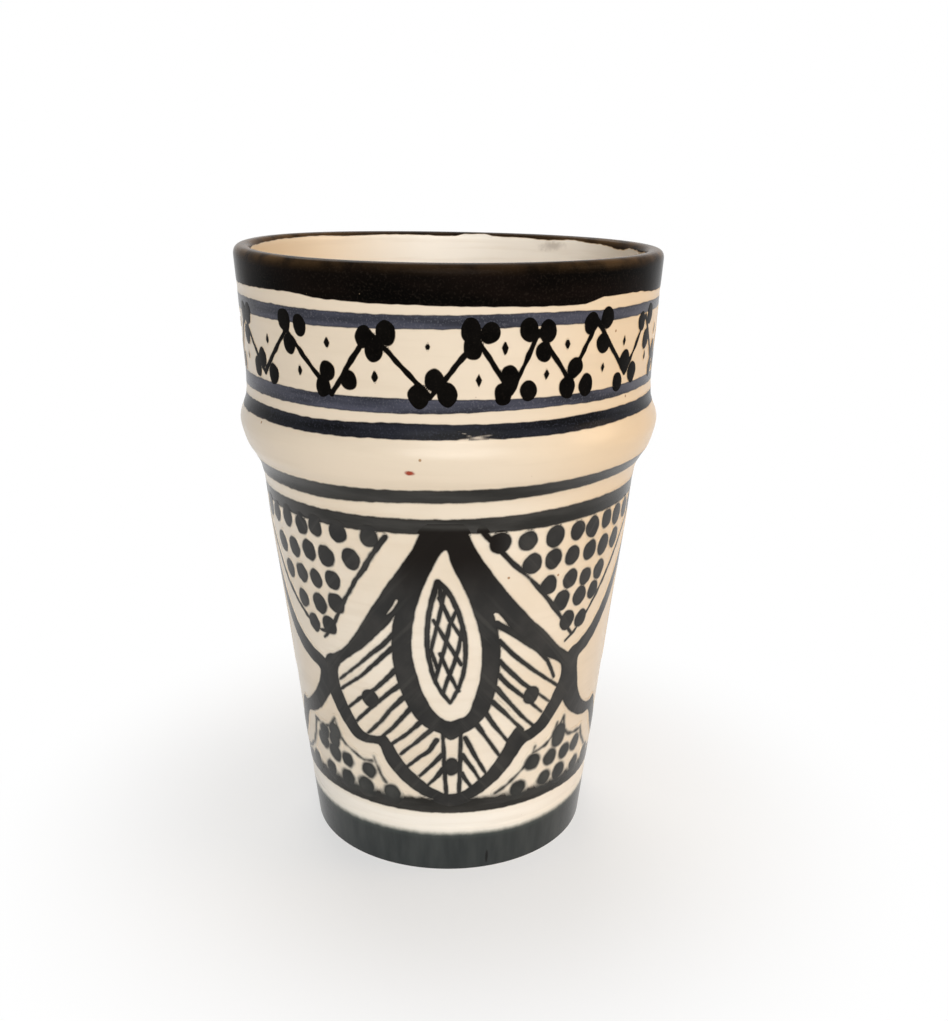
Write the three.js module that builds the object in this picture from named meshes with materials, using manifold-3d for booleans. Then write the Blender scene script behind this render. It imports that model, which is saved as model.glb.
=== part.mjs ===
// A hand-thrown earthenware cup with a raised collar, white glaze and brushed bands and palmettes.
// Millimetres, +Z up, origin at the middle of the foot. The front palmette faces -Y.

import * as THREE from "three";
import { mergeVertices } from "three/addons/utils/BufferGeometryUtils.js";
import Module from "manifold-3d";

const wasm = await Module();
wasm.setup();

// Heights of the three stretches of the wall
const LOWER_HEIGHT = 80;
const COLLAR_HEIGHT = 16;
const UPPER_HEIGHT = 28;

// Outside of the white glaze: the collar's crest, and how far the other radii step in or out from it
const COLLAR_RADIUS = 42.6;
const NECK_STEP = 1.4;
const RIM_FLARE = 1.3;
const SHOULDER_STEP = 3.9;
const FOOT_TAPER = 9.2;

// Shape of the collar: where its crest lies and how softly its flanks turn
const CREST_DROP = 5;
const FLANK_EASE = 2.8;
const BELLY_EASE = 5.5;
const CREST_EASE = 2;
const NECK_EASE = 2.4;

// Thicknesses: the wall and lip include the glaze on both faces
const WALL = 4.2;
const LIP_WALL = 3.4;
const FLOOR = 7;
const FLOOR_FILLET = 5;
const GLAZE = 0.4;
const PAINT = 0.1;
const PAINT_CLEARANCE = 0.02;
const PAINT_GAP = 0.3;

// The bare clay edge that the cup stands on
const FOOT_CHAMFER = 0.6;
const FOOT_MARGIN = 0.2;

// Brushed bands, from the lip down, with the white lines left between them
const RIM_BAND = 7;
const RIM_BAND_INSIDE = 0.2;
const RIM_GAP = 1.4;
const FRIEZE_LINE = 2.4;
const FRIEZE_GAP = 2;
const COLLAR_LINE_RISE = 0.7;
const COLLAR_TOP_LINE = 2.6;
const COLLAR_LOW_LINE = 2.8;
const COLLAR_LOW_RISE = 1.9;
const PANEL_DROP = 1.3;
const PANEL_TOP_LINE = 3;
const PANEL_LOW_LINE = 3.6;
const FOOT_GAP = 5.6;
const FOOT_BAND = 8;

// Brush strokes
const ZIGZAG_LINE = 0.9;
const SEED_LINE = 0.9;
const TRIANGLE_LINE = 0.8;
const SCALLOP_LINE = 0.8;

// Angles in degrees, counted from the front towards the right
const MOTIFS = ["front", "right", "back", "left"];
const MOTIF_START_ANGLE = -1;
const FULL_TURN_ANGLE = 360;
const ZIGZAG_TOP_ANGLES = [
  -68, -44, -19, 6.5, 22, 38.5, 61, 84, 106, 127, 148, 169, 190, 211, 232, 253, 273,
];
const ZIGZAG_LOW_ANGLES = [
  -56, -30, -4.5, 15, 30.5, 51, 72, 95, 116, 138, 158, 180, 200, 222, 242, 263, 282,
];

// Facets round the cup and along its curves
const TURN_FACETS = 36;
const LIP_QUARTER_FACETS = 2;
const FILLET_FACETS = 3;
const BELLY_FACETS = 4;
const CREST_FACETS = 3;
const STROKE_FACETS = 2;
const MERGE_DISTANCE = 1e-4;

// Radii and heights that follow from the sizes above
const neckRadius = COLLAR_RADIUS - NECK_STEP;
const rimRadius = neckRadius + RIM_FLARE;
const shoulderRadius = COLLAR_RADIUS - SHOULDER_STEP;
const footRadius = shoulderRadius - FOOT_TAPER;
const paintStand = PAINT_CLEARANCE + PAINT;
const neckHeight = LOWER_HEIGHT + COLLAR_HEIGHT;
const crestHeight = neckHeight - CREST_DROP;
const lipTop = neckHeight + UPPER_HEIGHT;
const lipRound = LIP_WALL / 2;
const lipHeight = lipTop - paintStand - lipRound;
const lipMiddle = rimRadius - lipRound;
const motifSpan = FULL_TURN_ANGLE / MOTIFS.length;
const halfSpan = motifSpan / 2;

const rimBandLow = lipTop - RIM_BAND;
const friezeTopHigh = rimBandLow - RIM_GAP;
const friezeFieldHigh = friezeTopHigh - FRIEZE_LINE;
const collarTopHigh = neckHeight + COLLAR_LINE_RISE;
const friezeLowLow = collarTopHigh + FRIEZE_GAP;
const friezeFieldLow = friezeLowLow + FRIEZE_LINE;
const collarLowLow = LOWER_HEIGHT + COLLAR_LOW_RISE;
const panelTopHigh = LOWER_HEIGHT - PANEL_DROP;
const panelFieldHigh = panelTopHigh - PANEL_TOP_LINE;
const glazeLow = FOOT_CHAMFER + FOOT_MARGIN;
const footBandHigh = glazeLow + FOOT_BAND;
const panelLowLow = footBandHigh + FOOT_GAP;
const panelFieldLow = panelLowLow + PANEL_LOW_LINE;

const radians = THREE.MathUtils.degToRad;
const lerp = THREE.MathUtils.lerp;
const at = (radius, height) => new THREE.Vector2(radius, height);

// The outside of the white glaze from the table to the start of the lip
const belly = new THREE.CubicBezierCurve(
  at(shoulderRadius, LOWER_HEIGHT),
  at(shoulderRadius, LOWER_HEIGHT + FLANK_EASE),
  at(COLLAR_RADIUS, crestHeight - BELLY_EASE),
  at(COLLAR_RADIUS, crestHeight),
);
const crest = new THREE.CubicBezierCurve(
  at(COLLAR_RADIUS, crestHeight),
  at(COLLAR_RADIUS, crestHeight + CREST_EASE),
  at(neckRadius, neckHeight - NECK_EASE),
  at(neckRadius, neckHeight),
);
const wall = [
  at(footRadius, 0),
  ...belly.getPoints(BELLY_FACETS),
  ...crest.getPoints(CREST_FACETS).slice(1),
  at(rimRadius, lipHeight),
];

// Radius of the white glaze at a height
function wallRadius(height) {
  const next = wall.findIndex((point) => point.y >= height);
  const upper = wall[Math.max(next, 1)];
  const lower = wall[Math.max(next, 1) - 1];
  return lerp(lower.x, upper.x, (height - lower.y) / (upper.y - lower.y));
}

// The stretch of the wall between two heights, moved out by an offset
function wallStretch(low, high, offset) {
  const between = wall.filter((point) => point.y > low && point.y < high);
  const ends = [at(wallRadius(low), low), ...between, at(wallRadius(high), high)];
  return ends.map((point) => at(point.x + offset, point.y));
}

// An arc of the rounded lip, from and to in degrees: 0 is the outside, 90 the crest, 180 the inside
function lipArc(from, to, offset) {
  const facets = LIP_QUARTER_FACETS * Math.abs(to - from) / 90;
  return Array.from({ length: facets + 1 }, (_, step) => {
    const turn = radians(lerp(from, to, step / facets));
    const reach = lipRound + offset;
    return at(lipMiddle + reach * Math.cos(turn), lipHeight + reach * Math.sin(turn));
  });
}

// The inside face from the lip down to the axis, moved into the wall by an offset
function insideFace(offset) {
  const filletTop = FLOOR + FLOOR_FILLET;
  const cornerRadius = wallRadius(filletTop) - WALL - FLOOR_FILLET;
  const fillet = Array.from({ length: FILLET_FACETS + 1 }, (_, step) => {
    const turn = radians(lerp(0, -90, step / FILLET_FACETS));
    const reach = FLOOR_FILLET + offset;
    return at(cornerRadius + reach * Math.cos(turn), filletTop + reach * Math.sin(turn));
  });
  return [
    at(neckRadius - WALL + offset, neckHeight),
    at(shoulderRadius - WALL + offset, LOWER_HEIGHT),
    ...fillet,
    at(0, FLOOR - offset),
  ];
}

// A closed profile turned round the cup's axis
function turned(profile) {
  const closed = profile[0].x > 0 ? [...profile, profile[0]] : profile;
  return new THREE.LatheGeometry(closed, TURN_FACETS).rotateX(Math.PI / 2);
}

// A thin ring of paint on the white glaze
function paintRing(low, high) {
  const back = wallStretch(low, high, PAINT_CLEARANCE);
  const face = wallStretch(low, high, paintStand);
  return turned([...face, ...back.reverse()]);
}

// Joining and cutting
function solidOf(geometry) {
  const bare = geometry.clone();
  bare.deleteAttribute("normal");
  bare.deleteAttribute("uv");
  const merged = mergeVertices(bare, MERGE_DISTANCE);
  const mesh = new wasm.Mesh({
    numProp: 3,
    vertProperties: new Float32Array(merged.attributes.position.array),
    triVerts: new Uint32Array(merged.index.array),
  });
  mesh.merge();
  return new wasm.Manifold(mesh);
}

function geometryOf(solid) {
  const mesh = solid.getMesh();
  const geometry = new THREE.BufferGeometry();
  geometry.setAttribute("position", new THREE.BufferAttribute(mesh.vertProperties, mesh.numProp));
  geometry.setIndex(new THREE.BufferAttribute(mesh.triVerts, 1));
  geometry.computeVertexNormals();
  return geometry;
}

// A flat outline on the tangent plane, run through the wall from near the axis to past the collar
function throughWall(points, angle) {
  const near = footRadius * Math.cos(radians(halfSpan)) / 2;
  const far = Math.max(COLLAR_RADIUS, rimRadius) + WALL;
  const run = { depth: far - near, bevelEnabled: false };
  const prism = new THREE.ExtrudeGeometry(new THREE.Shape(points), run);
  return solidOf(prism.translate(0, 0, near).rotateX(Math.PI / 2).rotateZ(radians(angle)));
}

// A point of the tangent plane for an angle off its middle and a height
function onPlane(angle, height) {
  return at(wallRadius(height) * Math.sin(radians(angle)), height);
}

// A straight brush stroke between two points of the wall, each an angle and a height
function strokeSolid(from, to, width) {
  const middle = (from.x + to.x) / 2;
  const start = onPlane(from.x - middle, from.y);
  const end = onPlane(to.x - middle, to.y);
  const along = end.clone().sub(start).setLength(width / 2);
  const across = at(-along.y, along.x);
  start.sub(along);
  end.add(along);
  const corners = [
    start.clone().add(across),
    start.clone().sub(across),
    end.clone().sub(across),
    end.clone().add(across),
  ];
  return throughWall(corners, middle);
}

// A painted figure with bare places in it, cut to the thickness of the paint
function painted(shell, outline, bare, angle) {
  const whole = throughWall(outline, angle);
  const figure = bare.reduce((left, hole) => left.subtract(throughWall(hole, angle)), whole);
  return geometryOf(shell.intersect(figure));
}

// A chain of strokes, cut to the thickness of the paint
function paintedChain(points, width, shell) {
  const strokes = points.slice(1).map((point, index) => strokeSolid(points[index], point, width));
  const joined = strokes.reduce((sum, stroke) => sum.add(stroke));
  return geometryOf(shell.intersect(joined));
}

const friezeShell = solidOf(paintRing(friezeFieldLow + PAINT_GAP, friezeFieldHigh - PAINT_GAP));
const panelShell = solidOf(paintRing(panelFieldLow + PAINT_GAP, panelFieldHigh - PAINT_GAP));

// The zigzag: a closed chain from top to low to top
function zigzagGeometry() {
  const reach = PAINT_GAP + ZIGZAG_LINE;
  const corners = ZIGZAG_TOP_ANGLES.flatMap((top, index) => [
    at(top, friezeFieldHigh - reach),
    at(ZIGZAG_LOW_ANGLES[index], friezeFieldLow + reach),
  ]);
  corners.push(at(ZIGZAG_TOP_ANGLES[0] + FULL_TURN_ANGLE, friezeFieldHigh - reach));
  return paintedChain(corners, ZIGZAG_LINE, friezeShell);
}

// A place in a palmette: shares of its half span and of the panel's height
function inPanel(spanShare, heightShare) {
  const height = lerp(panelFieldLow, panelFieldHigh, heightShare);
  return onPlane(spanShare * halfSpan, height);
}

function panelPlaces(shares) {
  return shares.map(([spanShare, heightShare]) => inPanel(spanShare, heightShare));
}

function mirrored(points) {
  return points.map((point) => at(-point.x, point.y)).reverse();
}

// The points of a closed outline that is the same on both sides of its middle, from its right half
function bothSides(rightHalf) {
  return [...rightHalf, ...mirrored(rightHalf).filter((point) => point.x < 0)];
}

function smooth(shares) {
  return new THREE.SplineCurve(panelPlaces(shares)).getPoints((shares.length - 1) * STROKE_FACETS);
}

// A palmette: arms from the apex to both junctions, a ring round the seed, stems and lobed lower edges
function palmetteGeometry(angle) {
  const middleRadius = wallRadius((panelFieldLow + panelFieldHigh) / 2);
  const edge = 1 - PAINT_GAP / 2 / (middleRadius * radians(halfSpan));
  const armTop = smooth([[0.13, 1.02], [0.28, 0.9], [0.5, 0.75], [0.7, 0.61], [0.86, 0.53], [edge, 0.505]]);
  const firstLobe = smooth([[edge, 0.31], [0.9, 0.265], [0.8, 0.22], [0.69, 0.195], [0.6, 0.2], [0.56, 0.2]]);
  const secondLobe = smooth([[0.56, 0.2], [0.5, 0.125], [0.4, 0.06], [0.27, 0.016], [0.13, -0.01]]);
  const outline = bothSides([...armTop, ...firstLobe, ...secondLobe.slice(1)]);

  const drop = smooth([
    [0, 0.95], [0.13, 0.82], [0.22, 0.68], [0.24, 0.6], [0.21, 0.48], [0.13, 0.36], [0, 0.32],
  ]);
  const underArm = smooth([
    [0.33, 0.74], [0.42, 0.68], [0.57, 0.59], [0.72, 0.53], [0.86, 0.48], [0.89, 0.44],
  ]);
  const lobeInside = smooth([[0.89, 0.44], [0.86, 0.37], [0.77, 0.27], [0.65, 0.235], [0.56, 0.25]]);
  const tipInside = smooth([[0.56, 0.25], [0.49, 0.2], [0.4, 0.13], [0.26, 0.07], [0.075, 0.035]]);
  const ringSide = smooth([
    [0.075, 0.255], [0.2, 0.3], [0.29, 0.4], [0.35, 0.52], [0.36, 0.63], [0.33, 0.74],
  ]);
  const field = [...underArm, ...lobeInside.slice(1), ...tipInside.slice(1), ...ringSide.slice(0, -1)];
  const channel = panelPlaces([[0.04, 0.24], [0.04, 0.04], [-0.04, 0.04], [-0.04, 0.24]]);
  return painted(panelShell, outline, [bothSides(drop), field, mirrored(field), channel], angle);
}

// The seed: a pointed oval line in the palmette's drop
function seedGeometry(angle) {
  const middleShare = 0.6;
  const half = smooth([[0, 0.84], [0.1, 0.71], [0.135, middleShare], [0.1, 0.48], [0, 0.385]]);
  const middle = inPanel(0, middleShare).y;
  const outer = bothSides(half);
  const inner = outer.map((point) => {
    const reach = Math.hypot(point.x, point.y - middle);
    const share = 1 - SEED_LINE / reach;
    return at(point.x * share, middle + (point.y - middle) * share);
  });
  return painted(panelShell, outer, [inner], angle);
}

// A chain of strokes given as shares of the panel, round the line between two palmettes
function panelChain(shares, angle, width) {
  const points = shares.map(([spanShare, heightShare]) => {
    return at(angle + spanShare * halfSpan, lerp(panelFieldLow, panelFieldHigh, heightShare));
  });
  return paintedChain(points, width, panelShell);
}

// The V line that hangs between two palmettes, round the dots
function triangleGeometry(angle) {
  return panelChain([[-0.71, 1], [-0.36, 0.77], [0, 0.585], [0.36, 0.77], [0.71, 1]], angle, TRIANGLE_LINE);
}

// The line under the two lobes beside a junction, over the dots
function scallopGeometry(angle) {
  const shares = [
    [-0.56, 0.03], [-0.4, 0.14], [-0.27, 0.155], [0, 0.235], [0.27, 0.155], [0.4, 0.14], [0.56, 0.03],
  ];
  return panelChain(shares, angle, SCALLOP_LINE);
}

// The turned solids
const clayProfile = [
  at(0, 0),
  at(footRadius - GLAZE - FOOT_CHAMFER, 0),
  ...wallStretch(FOOT_CHAMFER, lipHeight, -GLAZE),
  ...lipArc(0, 180, -GLAZE).slice(1),
  ...insideFace(GLAZE),
];
const outerGlazeProfile = [
  ...wallStretch(glazeLow, lipHeight, 0),
  ...lipArc(0, 90, 0).slice(1),
  ...lipArc(90, 0, -GLAZE),
  ...wallStretch(glazeLow, lipHeight, -GLAZE).reverse().slice(1),
];
const innerGlazeProfile = [
  ...insideFace(GLAZE).reverse(),
  ...lipArc(180, 90, -GLAZE),
  ...lipArc(90, 180, 0),
  ...insideFace(0),
];
const insideLow = lipHeight - RIM_BAND_INSIDE;
const insideSlope = (rimRadius - LIP_WALL - neckRadius + WALL) / (lipHeight - neckHeight);
const insideRadius = rimRadius - LIP_WALL + (insideLow - lipHeight) * insideSlope;
const rimBandProfile = [
  ...wallStretch(rimBandLow, lipHeight, paintStand),
  ...lipArc(0, 180, paintStand).slice(1),
  at(insideRadius - paintStand, insideLow),
  at(insideRadius - PAINT_CLEARANCE, insideLow),
  ...lipArc(180, 0, PAINT_CLEARANCE),
  ...wallStretch(rimBandLow, lipHeight, PAINT_CLEARANCE).reverse().slice(1),
];

// Finishes
const terracotta = { color: 0xb5764f, roughness: 0.85 };
const whiteGlaze = { color: 0xe9dfcc, roughness: 0.2 };
const blackPaint = { color: 0x16120f, roughness: 0.2 };
const bluePaint = { color: 0x3a3f4d, roughness: 0.25 };
const charcoalPaint = { color: 0x2f3335, roughness: 0.3 };

const cup = new THREE.Group();

function add(name, geometry, finish) {
  const mesh = new THREE.Mesh(geometry, new THREE.MeshStandardMaterial({ metalness: 0, ...finish }));
  mesh.name = name;
  cup.add(mesh);
}

add("clay_body", turned(clayProfile), terracotta);
add("inner_glaze", turned(innerGlazeProfile), whiteGlaze);
add("outer_glaze", turned(outerGlazeProfile), whiteGlaze);
add("rim_band", turned(rimBandProfile), blackPaint);
add("frieze_top_band", paintRing(friezeFieldHigh, friezeTopHigh), bluePaint);
add("frieze_zigzag", zigzagGeometry(), blackPaint);
add("frieze_bottom_band", paintRing(friezeLowLow, friezeFieldLow), bluePaint);
add("collar_top_band", paintRing(collarTopHigh - COLLAR_TOP_LINE, collarTopHigh), bluePaint);
add("collar_bottom_band", paintRing(collarLowLow, collarLowLow + COLLAR_LOW_LINE), charcoalPaint);
add("panel_top_band", paintRing(panelFieldHigh, panelTopHigh), charcoalPaint);
add("panel_bottom_band", paintRing(panelLowLow, panelFieldLow), charcoalPaint);
add("foot_band", paintRing(glazeLow, footBandHigh), charcoalPaint);

MOTIFS.forEach((side, index) => {
  const angle = MOTIF_START_ANGLE + index * motifSpan;
  const between = angle + halfSpan;
  add(`palmette_${side}`, palmetteGeometry(angle), charcoalPaint);
  add(`seed_${side}`, seedGeometry(angle), charcoalPaint);
  add(`triangle_after_${side}`, triangleGeometry(between), charcoalPaint);
  add(`scallop_after_${side}`, scallopGeometry(between), charcoalPaint);
});

export default cup;
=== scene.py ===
import math

import bmesh
import bpy
import numpy as np
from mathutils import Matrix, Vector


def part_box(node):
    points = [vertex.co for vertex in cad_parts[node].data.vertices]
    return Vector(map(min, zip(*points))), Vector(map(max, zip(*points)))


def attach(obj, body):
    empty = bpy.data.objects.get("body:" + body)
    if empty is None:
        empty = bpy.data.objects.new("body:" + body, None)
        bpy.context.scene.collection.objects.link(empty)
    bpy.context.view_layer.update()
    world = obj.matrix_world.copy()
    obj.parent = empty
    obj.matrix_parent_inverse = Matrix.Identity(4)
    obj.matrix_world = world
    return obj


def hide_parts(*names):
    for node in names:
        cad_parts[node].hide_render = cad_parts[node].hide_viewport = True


# A hand-thrown earthenware cup, glazed white and brushed with dark bands, dots and palmettes
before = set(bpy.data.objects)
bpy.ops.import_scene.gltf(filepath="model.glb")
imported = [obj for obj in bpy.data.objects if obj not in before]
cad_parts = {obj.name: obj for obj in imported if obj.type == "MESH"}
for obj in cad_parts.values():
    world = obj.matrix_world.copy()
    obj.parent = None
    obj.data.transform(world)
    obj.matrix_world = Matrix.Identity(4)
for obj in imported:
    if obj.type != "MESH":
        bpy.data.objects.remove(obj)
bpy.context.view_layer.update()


# The clay body
# Red earthenware, thrown in one piece on a wheel: a tapered cup with a rolled collar under its mouth.
# Glaze covers it all, except for the ring that it stands on, where the fired clay shows.
mm = 0.001
LIP_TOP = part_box("rim_band")[1].z / mm
LIP_ROUND = 1.7
LIP_MIDDLE = 40.65
LIP_FULLNESS = 2.6
LIP_START = LIP_TOP - LIP_ROUND
GLAZE = 0.4
FOOT_CHAMFER = 0.3
FLOOR = 7.0
FLOOR_FILLET = 5.0
FLOOR_RINGS = (0.66, 0.33, 0)
TURN_STEPS = 160
LIP_STEP = 10
WALL_STEP = 1.5
COLLAR_STEP = 0.4
COLLAR_LOW = 79
COLLAR_HIGH = 99
INSIDE_STEPS = 60
FILLET_STEPS = 9
SHARP_EDGE = 50

# The outside of the glaze, from the table to the lip, and the inside of it, from the floor's round to the lip
WALL_HEIGHTS = np.array([
    0, 25, 50, 70, 80, 82, 84, 86, 88.5,
    91, 92.4, 93.7, 95.2, 97.5, 108, 115, LIP_START,
])
WALL_RADII = np.array([
    29.5, 32.35, 35.05, 37.45, 38.6, 39.1, 40.1, 41.35, 42.2,
    42.6, 42.3, 41.75, 41.25, 41.1, 41.45, 41.85, 42.35,
])
INSIDE_HEIGHTS = np.array([FLOOR + FLOOR_FILLET, 40, 70, 82, 92, 108, LIP_START])
INSIDE_RADII = np.array([26.7, 29.9, 33.4, 35.0, 36.6, 38.0, 38.95])


def smooth_between(at, knots, values):
    """A smooth curve through a few values."""
    slopes = np.gradient(values, knots)
    left = np.clip(np.searchsorted(knots, at, side="right") - 1, 0, len(knots) - 2)
    gap = knots[left + 1] - knots[left]
    share = np.clip((at - knots[left]) / gap, 0, 1)
    rest = 1 - share
    start = rest * rest * ((1 + 2 * share) * values[left] + share * gap * slopes[left])
    end = share * share * ((3 - 2 * share) * values[left + 1] - rest * gap * slopes[left + 1])
    return start + end


def wall_radius(height):
    return smooth_between(height, WALL_HEIGHTS, WALL_RADII)


def inside_radius(height):
    return smooth_between(height, INSIDE_HEIGHTS, INSIDE_RADII)


# The potter's hand: the mouth leans a little to the right, its lip is high at the back left,
# and the wall is not quite round
RIM_LEAN = 0.06
LEAN_START = 97.0
LIP_HIGH = 0.66
LIP_HIGH_ANGLE = -115.0
LIP_HIGH_SPREAD = 50.0
LIP_HIGH_START = 116.0
OUT_OF_ROUND = 0.05
OUT_OF_ROUND_TURN = 0.6


def turn_from(middle, angle):
    """Degrees from a middle angle, the short way round."""
    return (angle - middle + 180) % 360 - 180


def by_hand(angle, radius, height):
    """A point of the true turned shape, where the hand left it, in metres.
    Angles run from the front to the right."""
    turn = np.radians(angle)
    rise = np.clip((height - LEAN_START) / (LIP_TOP - LEAN_START), 0, 1)
    near_lip = np.clip((height - LIP_HIGH_START) / (LIP_TOP - LIP_HIGH_START), 0, 1)
    sway = LIP_HIGH * np.exp(-(turn_from(LIP_HIGH_ANGLE, angle) / LIP_HIGH_SPREAD) ** 2)
    radius = radius + OUT_OF_ROUND * np.sin(2 * turn + OUT_OF_ROUND_TURN) * radius / LIP_MIDDLE
    height = height - RIM_LEAN * rise * rise * np.sin(turn) + sway * near_lip * near_lip
    return np.stack([radius * np.sin(turn), -radius * np.cos(turn), height], axis=-1) * mm


def wall_heights(low, high):
    """Heights along the wall, closer together on the collar's curves."""
    plain = np.arange(math.ceil(low), high, WALL_STEP)
    plain = plain[(plain < COLLAR_LOW) | (plain > COLLAR_HIGH)]
    collar = np.arange(COLLAR_LOW, COLLAR_HIGH, COLLAR_STEP)
    collar = collar[(collar > low) & (collar < high)]
    return np.unique(np.concatenate([[low], plain, collar, [high]]))


def lip_curve(turn):
    """The lip's section, fuller than a circle: how far out and up it is at a turn."""
    out, up = np.cos(turn), np.abs(np.sin(turn))
    return np.sign(out) * np.abs(out) ** (2 / LIP_FULLNESS), up ** (2 / LIP_FULLNESS)


def lip_arc(first, last, offset):
    """The lip as radii and heights; 0 degrees is the outside, 90 the crest and 180 the inside."""
    steps = abs(last - first) // LIP_STEP + 1
    out, up = lip_curve(np.radians(np.linspace(first, last, steps)))
    reach = LIP_ROUND + offset
    return list(zip(LIP_MIDDLE + reach * out, LIP_START + reach * up))


def outside_line(low, offset):
    heights = wall_heights(low, LIP_START)
    return list(zip(wall_radius(heights) + offset, heights))


def inside_line(offset):
    """The inside from the lip down to the middle of the floor."""
    fillet_top = FLOOR + FLOOR_FILLET
    heights = np.linspace(LIP_START, fillet_top, INSIDE_STEPS)[1:]
    corner = inside_radius(fillet_top) - FLOOR_FILLET
    turns = np.radians(np.linspace(0, -90, FILLET_STEPS))[1:]
    reach = FLOOR_FILLET + offset
    wall = list(zip(inside_radius(heights) + offset, heights))
    fillet = list(zip(corner + reach * np.cos(turns), fillet_top + reach * np.sin(turns)))
    floor = [(corner * share, FLOOR - offset) for share in FLOOR_RINGS]
    return wall + fillet + floor


def turned(profile):
    """A shape turned from radii and heights; it closes on itself unless it starts on the axis."""
    shape = bmesh.new()
    points = [shape.verts.new((radius, 0, height)) for radius, height in profile]
    edges = [shape.edges.new(pair) for pair in zip(points, points[1:])]
    if profile[0][0] > 0:
        edges.append(shape.edges.new((points[-1], points[0])))
    bmesh.ops.spin(shape, geom=points + edges, axis=(0, 0, 1), cent=(0, 0, 0),
                   angle=math.tau, steps=TURN_STEPS, use_merge=True)
    bmesh.ops.remove_doubles(shape, verts=shape.verts, dist=1e-4)
    bmesh.ops.recalc_face_normals(shape, faces=shape.faces)
    for vertex in shape.verts:
        angle = math.degrees(math.atan2(vertex.co.x, -vertex.co.y))
        vertex.co = by_hand(angle, math.hypot(vertex.co.x, vertex.co.y), vertex.co.z)
    return shape


def placed(name, data):
    thing = bpy.data.objects.new(name, data)
    bpy.context.scene.collection.objects.link(thing)
    return thing


def made(shape, name, material):
    """A shape as an object in the scene, with its finish."""
    mesh = bpy.data.meshes.new(name)
    shape.to_mesh(mesh)
    shape.free()
    mesh.materials.append(material)
    return placed(name, mesh)


def fired(shape, name, material, slot, *nodes):
    """A finished piece of the cup, and the solids that it stands for."""
    piece = made(shape, name, material)
    piece.data.shade_smooth()
    piece.data.set_sharp_from_angle(angle=math.radians(SHARP_EDGE))
    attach(piece, "root")
    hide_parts(*nodes)


def colour(red, green, blue):
    """A colour as it is seen on a screen, 0 to 255, as the linear light that a shader takes."""
    seen = np.array([red, green, blue]) / 255
    light = np.where(seen <= 0.04045, seen / 12.92, ((seen + 0.055) / 1.055) ** 2.4)
    return (*light, 1)


class Finish:
    """A material under construction: its shader, and short calls for the nodes that feed it."""

    def __init__(self, name, roughness, specular):
        self.material = bpy.data.materials.new(name)
        self.material.use_nodes = True
        self.tree = self.material.node_tree
        self.shader = self.tree.nodes["Principled BSDF"]
        self.shader.inputs["Roughness"].default_value = roughness
        self.shader.inputs["Specular IOR Level"].default_value = specular
        self.place = self.add("ShaderNodeTexCoord").outputs["Object"]

    def add(self, kind, **inputs):
        node = self.tree.nodes.new(kind)
        for name, value in inputs.items():
            self.feed(node.inputs[name], value)
        return node

    def feed(self, socket, value):
        if isinstance(value, bpy.types.NodeSocket):
            self.tree.links.new(value, socket)
        else:
            socket.default_value = value

    def noise(self, size, detail=2.0, place=None, stretch=None):
        """Cloudy noise from 0 to 1, with features of about a size in millimetres."""
        place = self.place if place is None else place
        if stretch is not None:
            place = self.add("ShaderNodeMapping", Vector=place, Scale=stretch).outputs["Vector"]
        scale = 1 / (size * mm)
        return self.add("ShaderNodeTexNoise", Vector=place, Scale=scale, Detail=detail).outputs["Fac"]

    def spread(self, value, low, high, start=0.0, end=1.0):
        """A value eased from one range into another."""
        node = self.tree.nodes.new("ShaderNodeMapRange")
        node.interpolation_type = "SMOOTHSTEP"
        sockets = ("Value", "From Min", "From Max", "To Min", "To Max")
        for name, fed in zip(sockets, (value, low, high, start, end)):
            self.feed(node.inputs[name], fed)
        return node.outputs["Result"]

    def maths(self, operation, *values):
        node = self.tree.nodes.new("ShaderNodeMath")
        node.operation = operation
        for socket, value in zip(node.inputs, values):
            self.feed(socket, value)
        return node.outputs[0]

    def parts(self, place):
        """The X, Y and Z of a place."""
        return self.add("ShaderNodeSeparateXYZ", Vector=place).outputs

    def length(self, place):
        """How far a place is from the origin."""
        node = self.tree.nodes.new("ShaderNodeVectorMath")
        node.operation = "LENGTH"
        self.feed(node.inputs[0], place)
        return node.outputs["Value"]

    def mix(self, share, first, second):
        node = self.tree.nodes.new("ShaderNodeMix")
        node.data_type = "RGBA"
        self.feed(node.inputs["Factor"], share)
        for name, value in (("A_Color", first), ("B_Color", second)):
            self.feed(next(socket for socket in node.inputs if socket.identifier == name), value)
        return next(socket for socket in node.outputs if socket.identifier == "Result_Color")

    def bump(self, height, depth, after=None):
        """Relief of a depth in millimetres."""
        node = self.add("ShaderNodeBump", Height=height, Distance=depth * mm)
        if after is not None:
            self.feed(node.inputs["Normal"], after)
        return node.outputs["Normal"]

    def use(self, **sockets):
        for name, value in sockets.items():
            self.feed(self.shader.inputs[name.replace("_", " ")], value)
        return self.material


CLAY_RED = colour(176, 112, 76)
CLAY_DARK = colour(138, 84, 58)
CLAY_PALE = colour(205, 158, 122)

clay = Finish("fired_clay", roughness=0.85, specular=0.3)
clay_cloud = clay.spread(clay.noise(9, detail=5), 0.3, 0.7)
clay_grit = clay.spread(clay.noise(0.7, detail=3), 0.62, 0.72)
clay_grain = clay.noise(0.5, detail=4)
fired_clay = clay.use(
    Base_Color=clay.mix(clay_grit, clay.mix(clay_cloud, CLAY_DARK, CLAY_RED), CLAY_PALE),
    Normal=clay.bump(clay_grain, 0.12),
)

foot_radius = wall_radius(0) - GLAZE
body_line = [(0, 0), (foot_radius * 0.5, 0), (foot_radius - FOOT_CHAMFER, 0)]
body_line += outside_line(FOOT_CHAMFER, -GLAZE)
body_line += lip_arc(0, 180, -GLAZE)[1:]
body_line += inside_line(GLAZE)
fired(turned(body_line), "thrown_body", fired_clay, "terracotta", "clay_body")


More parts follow.
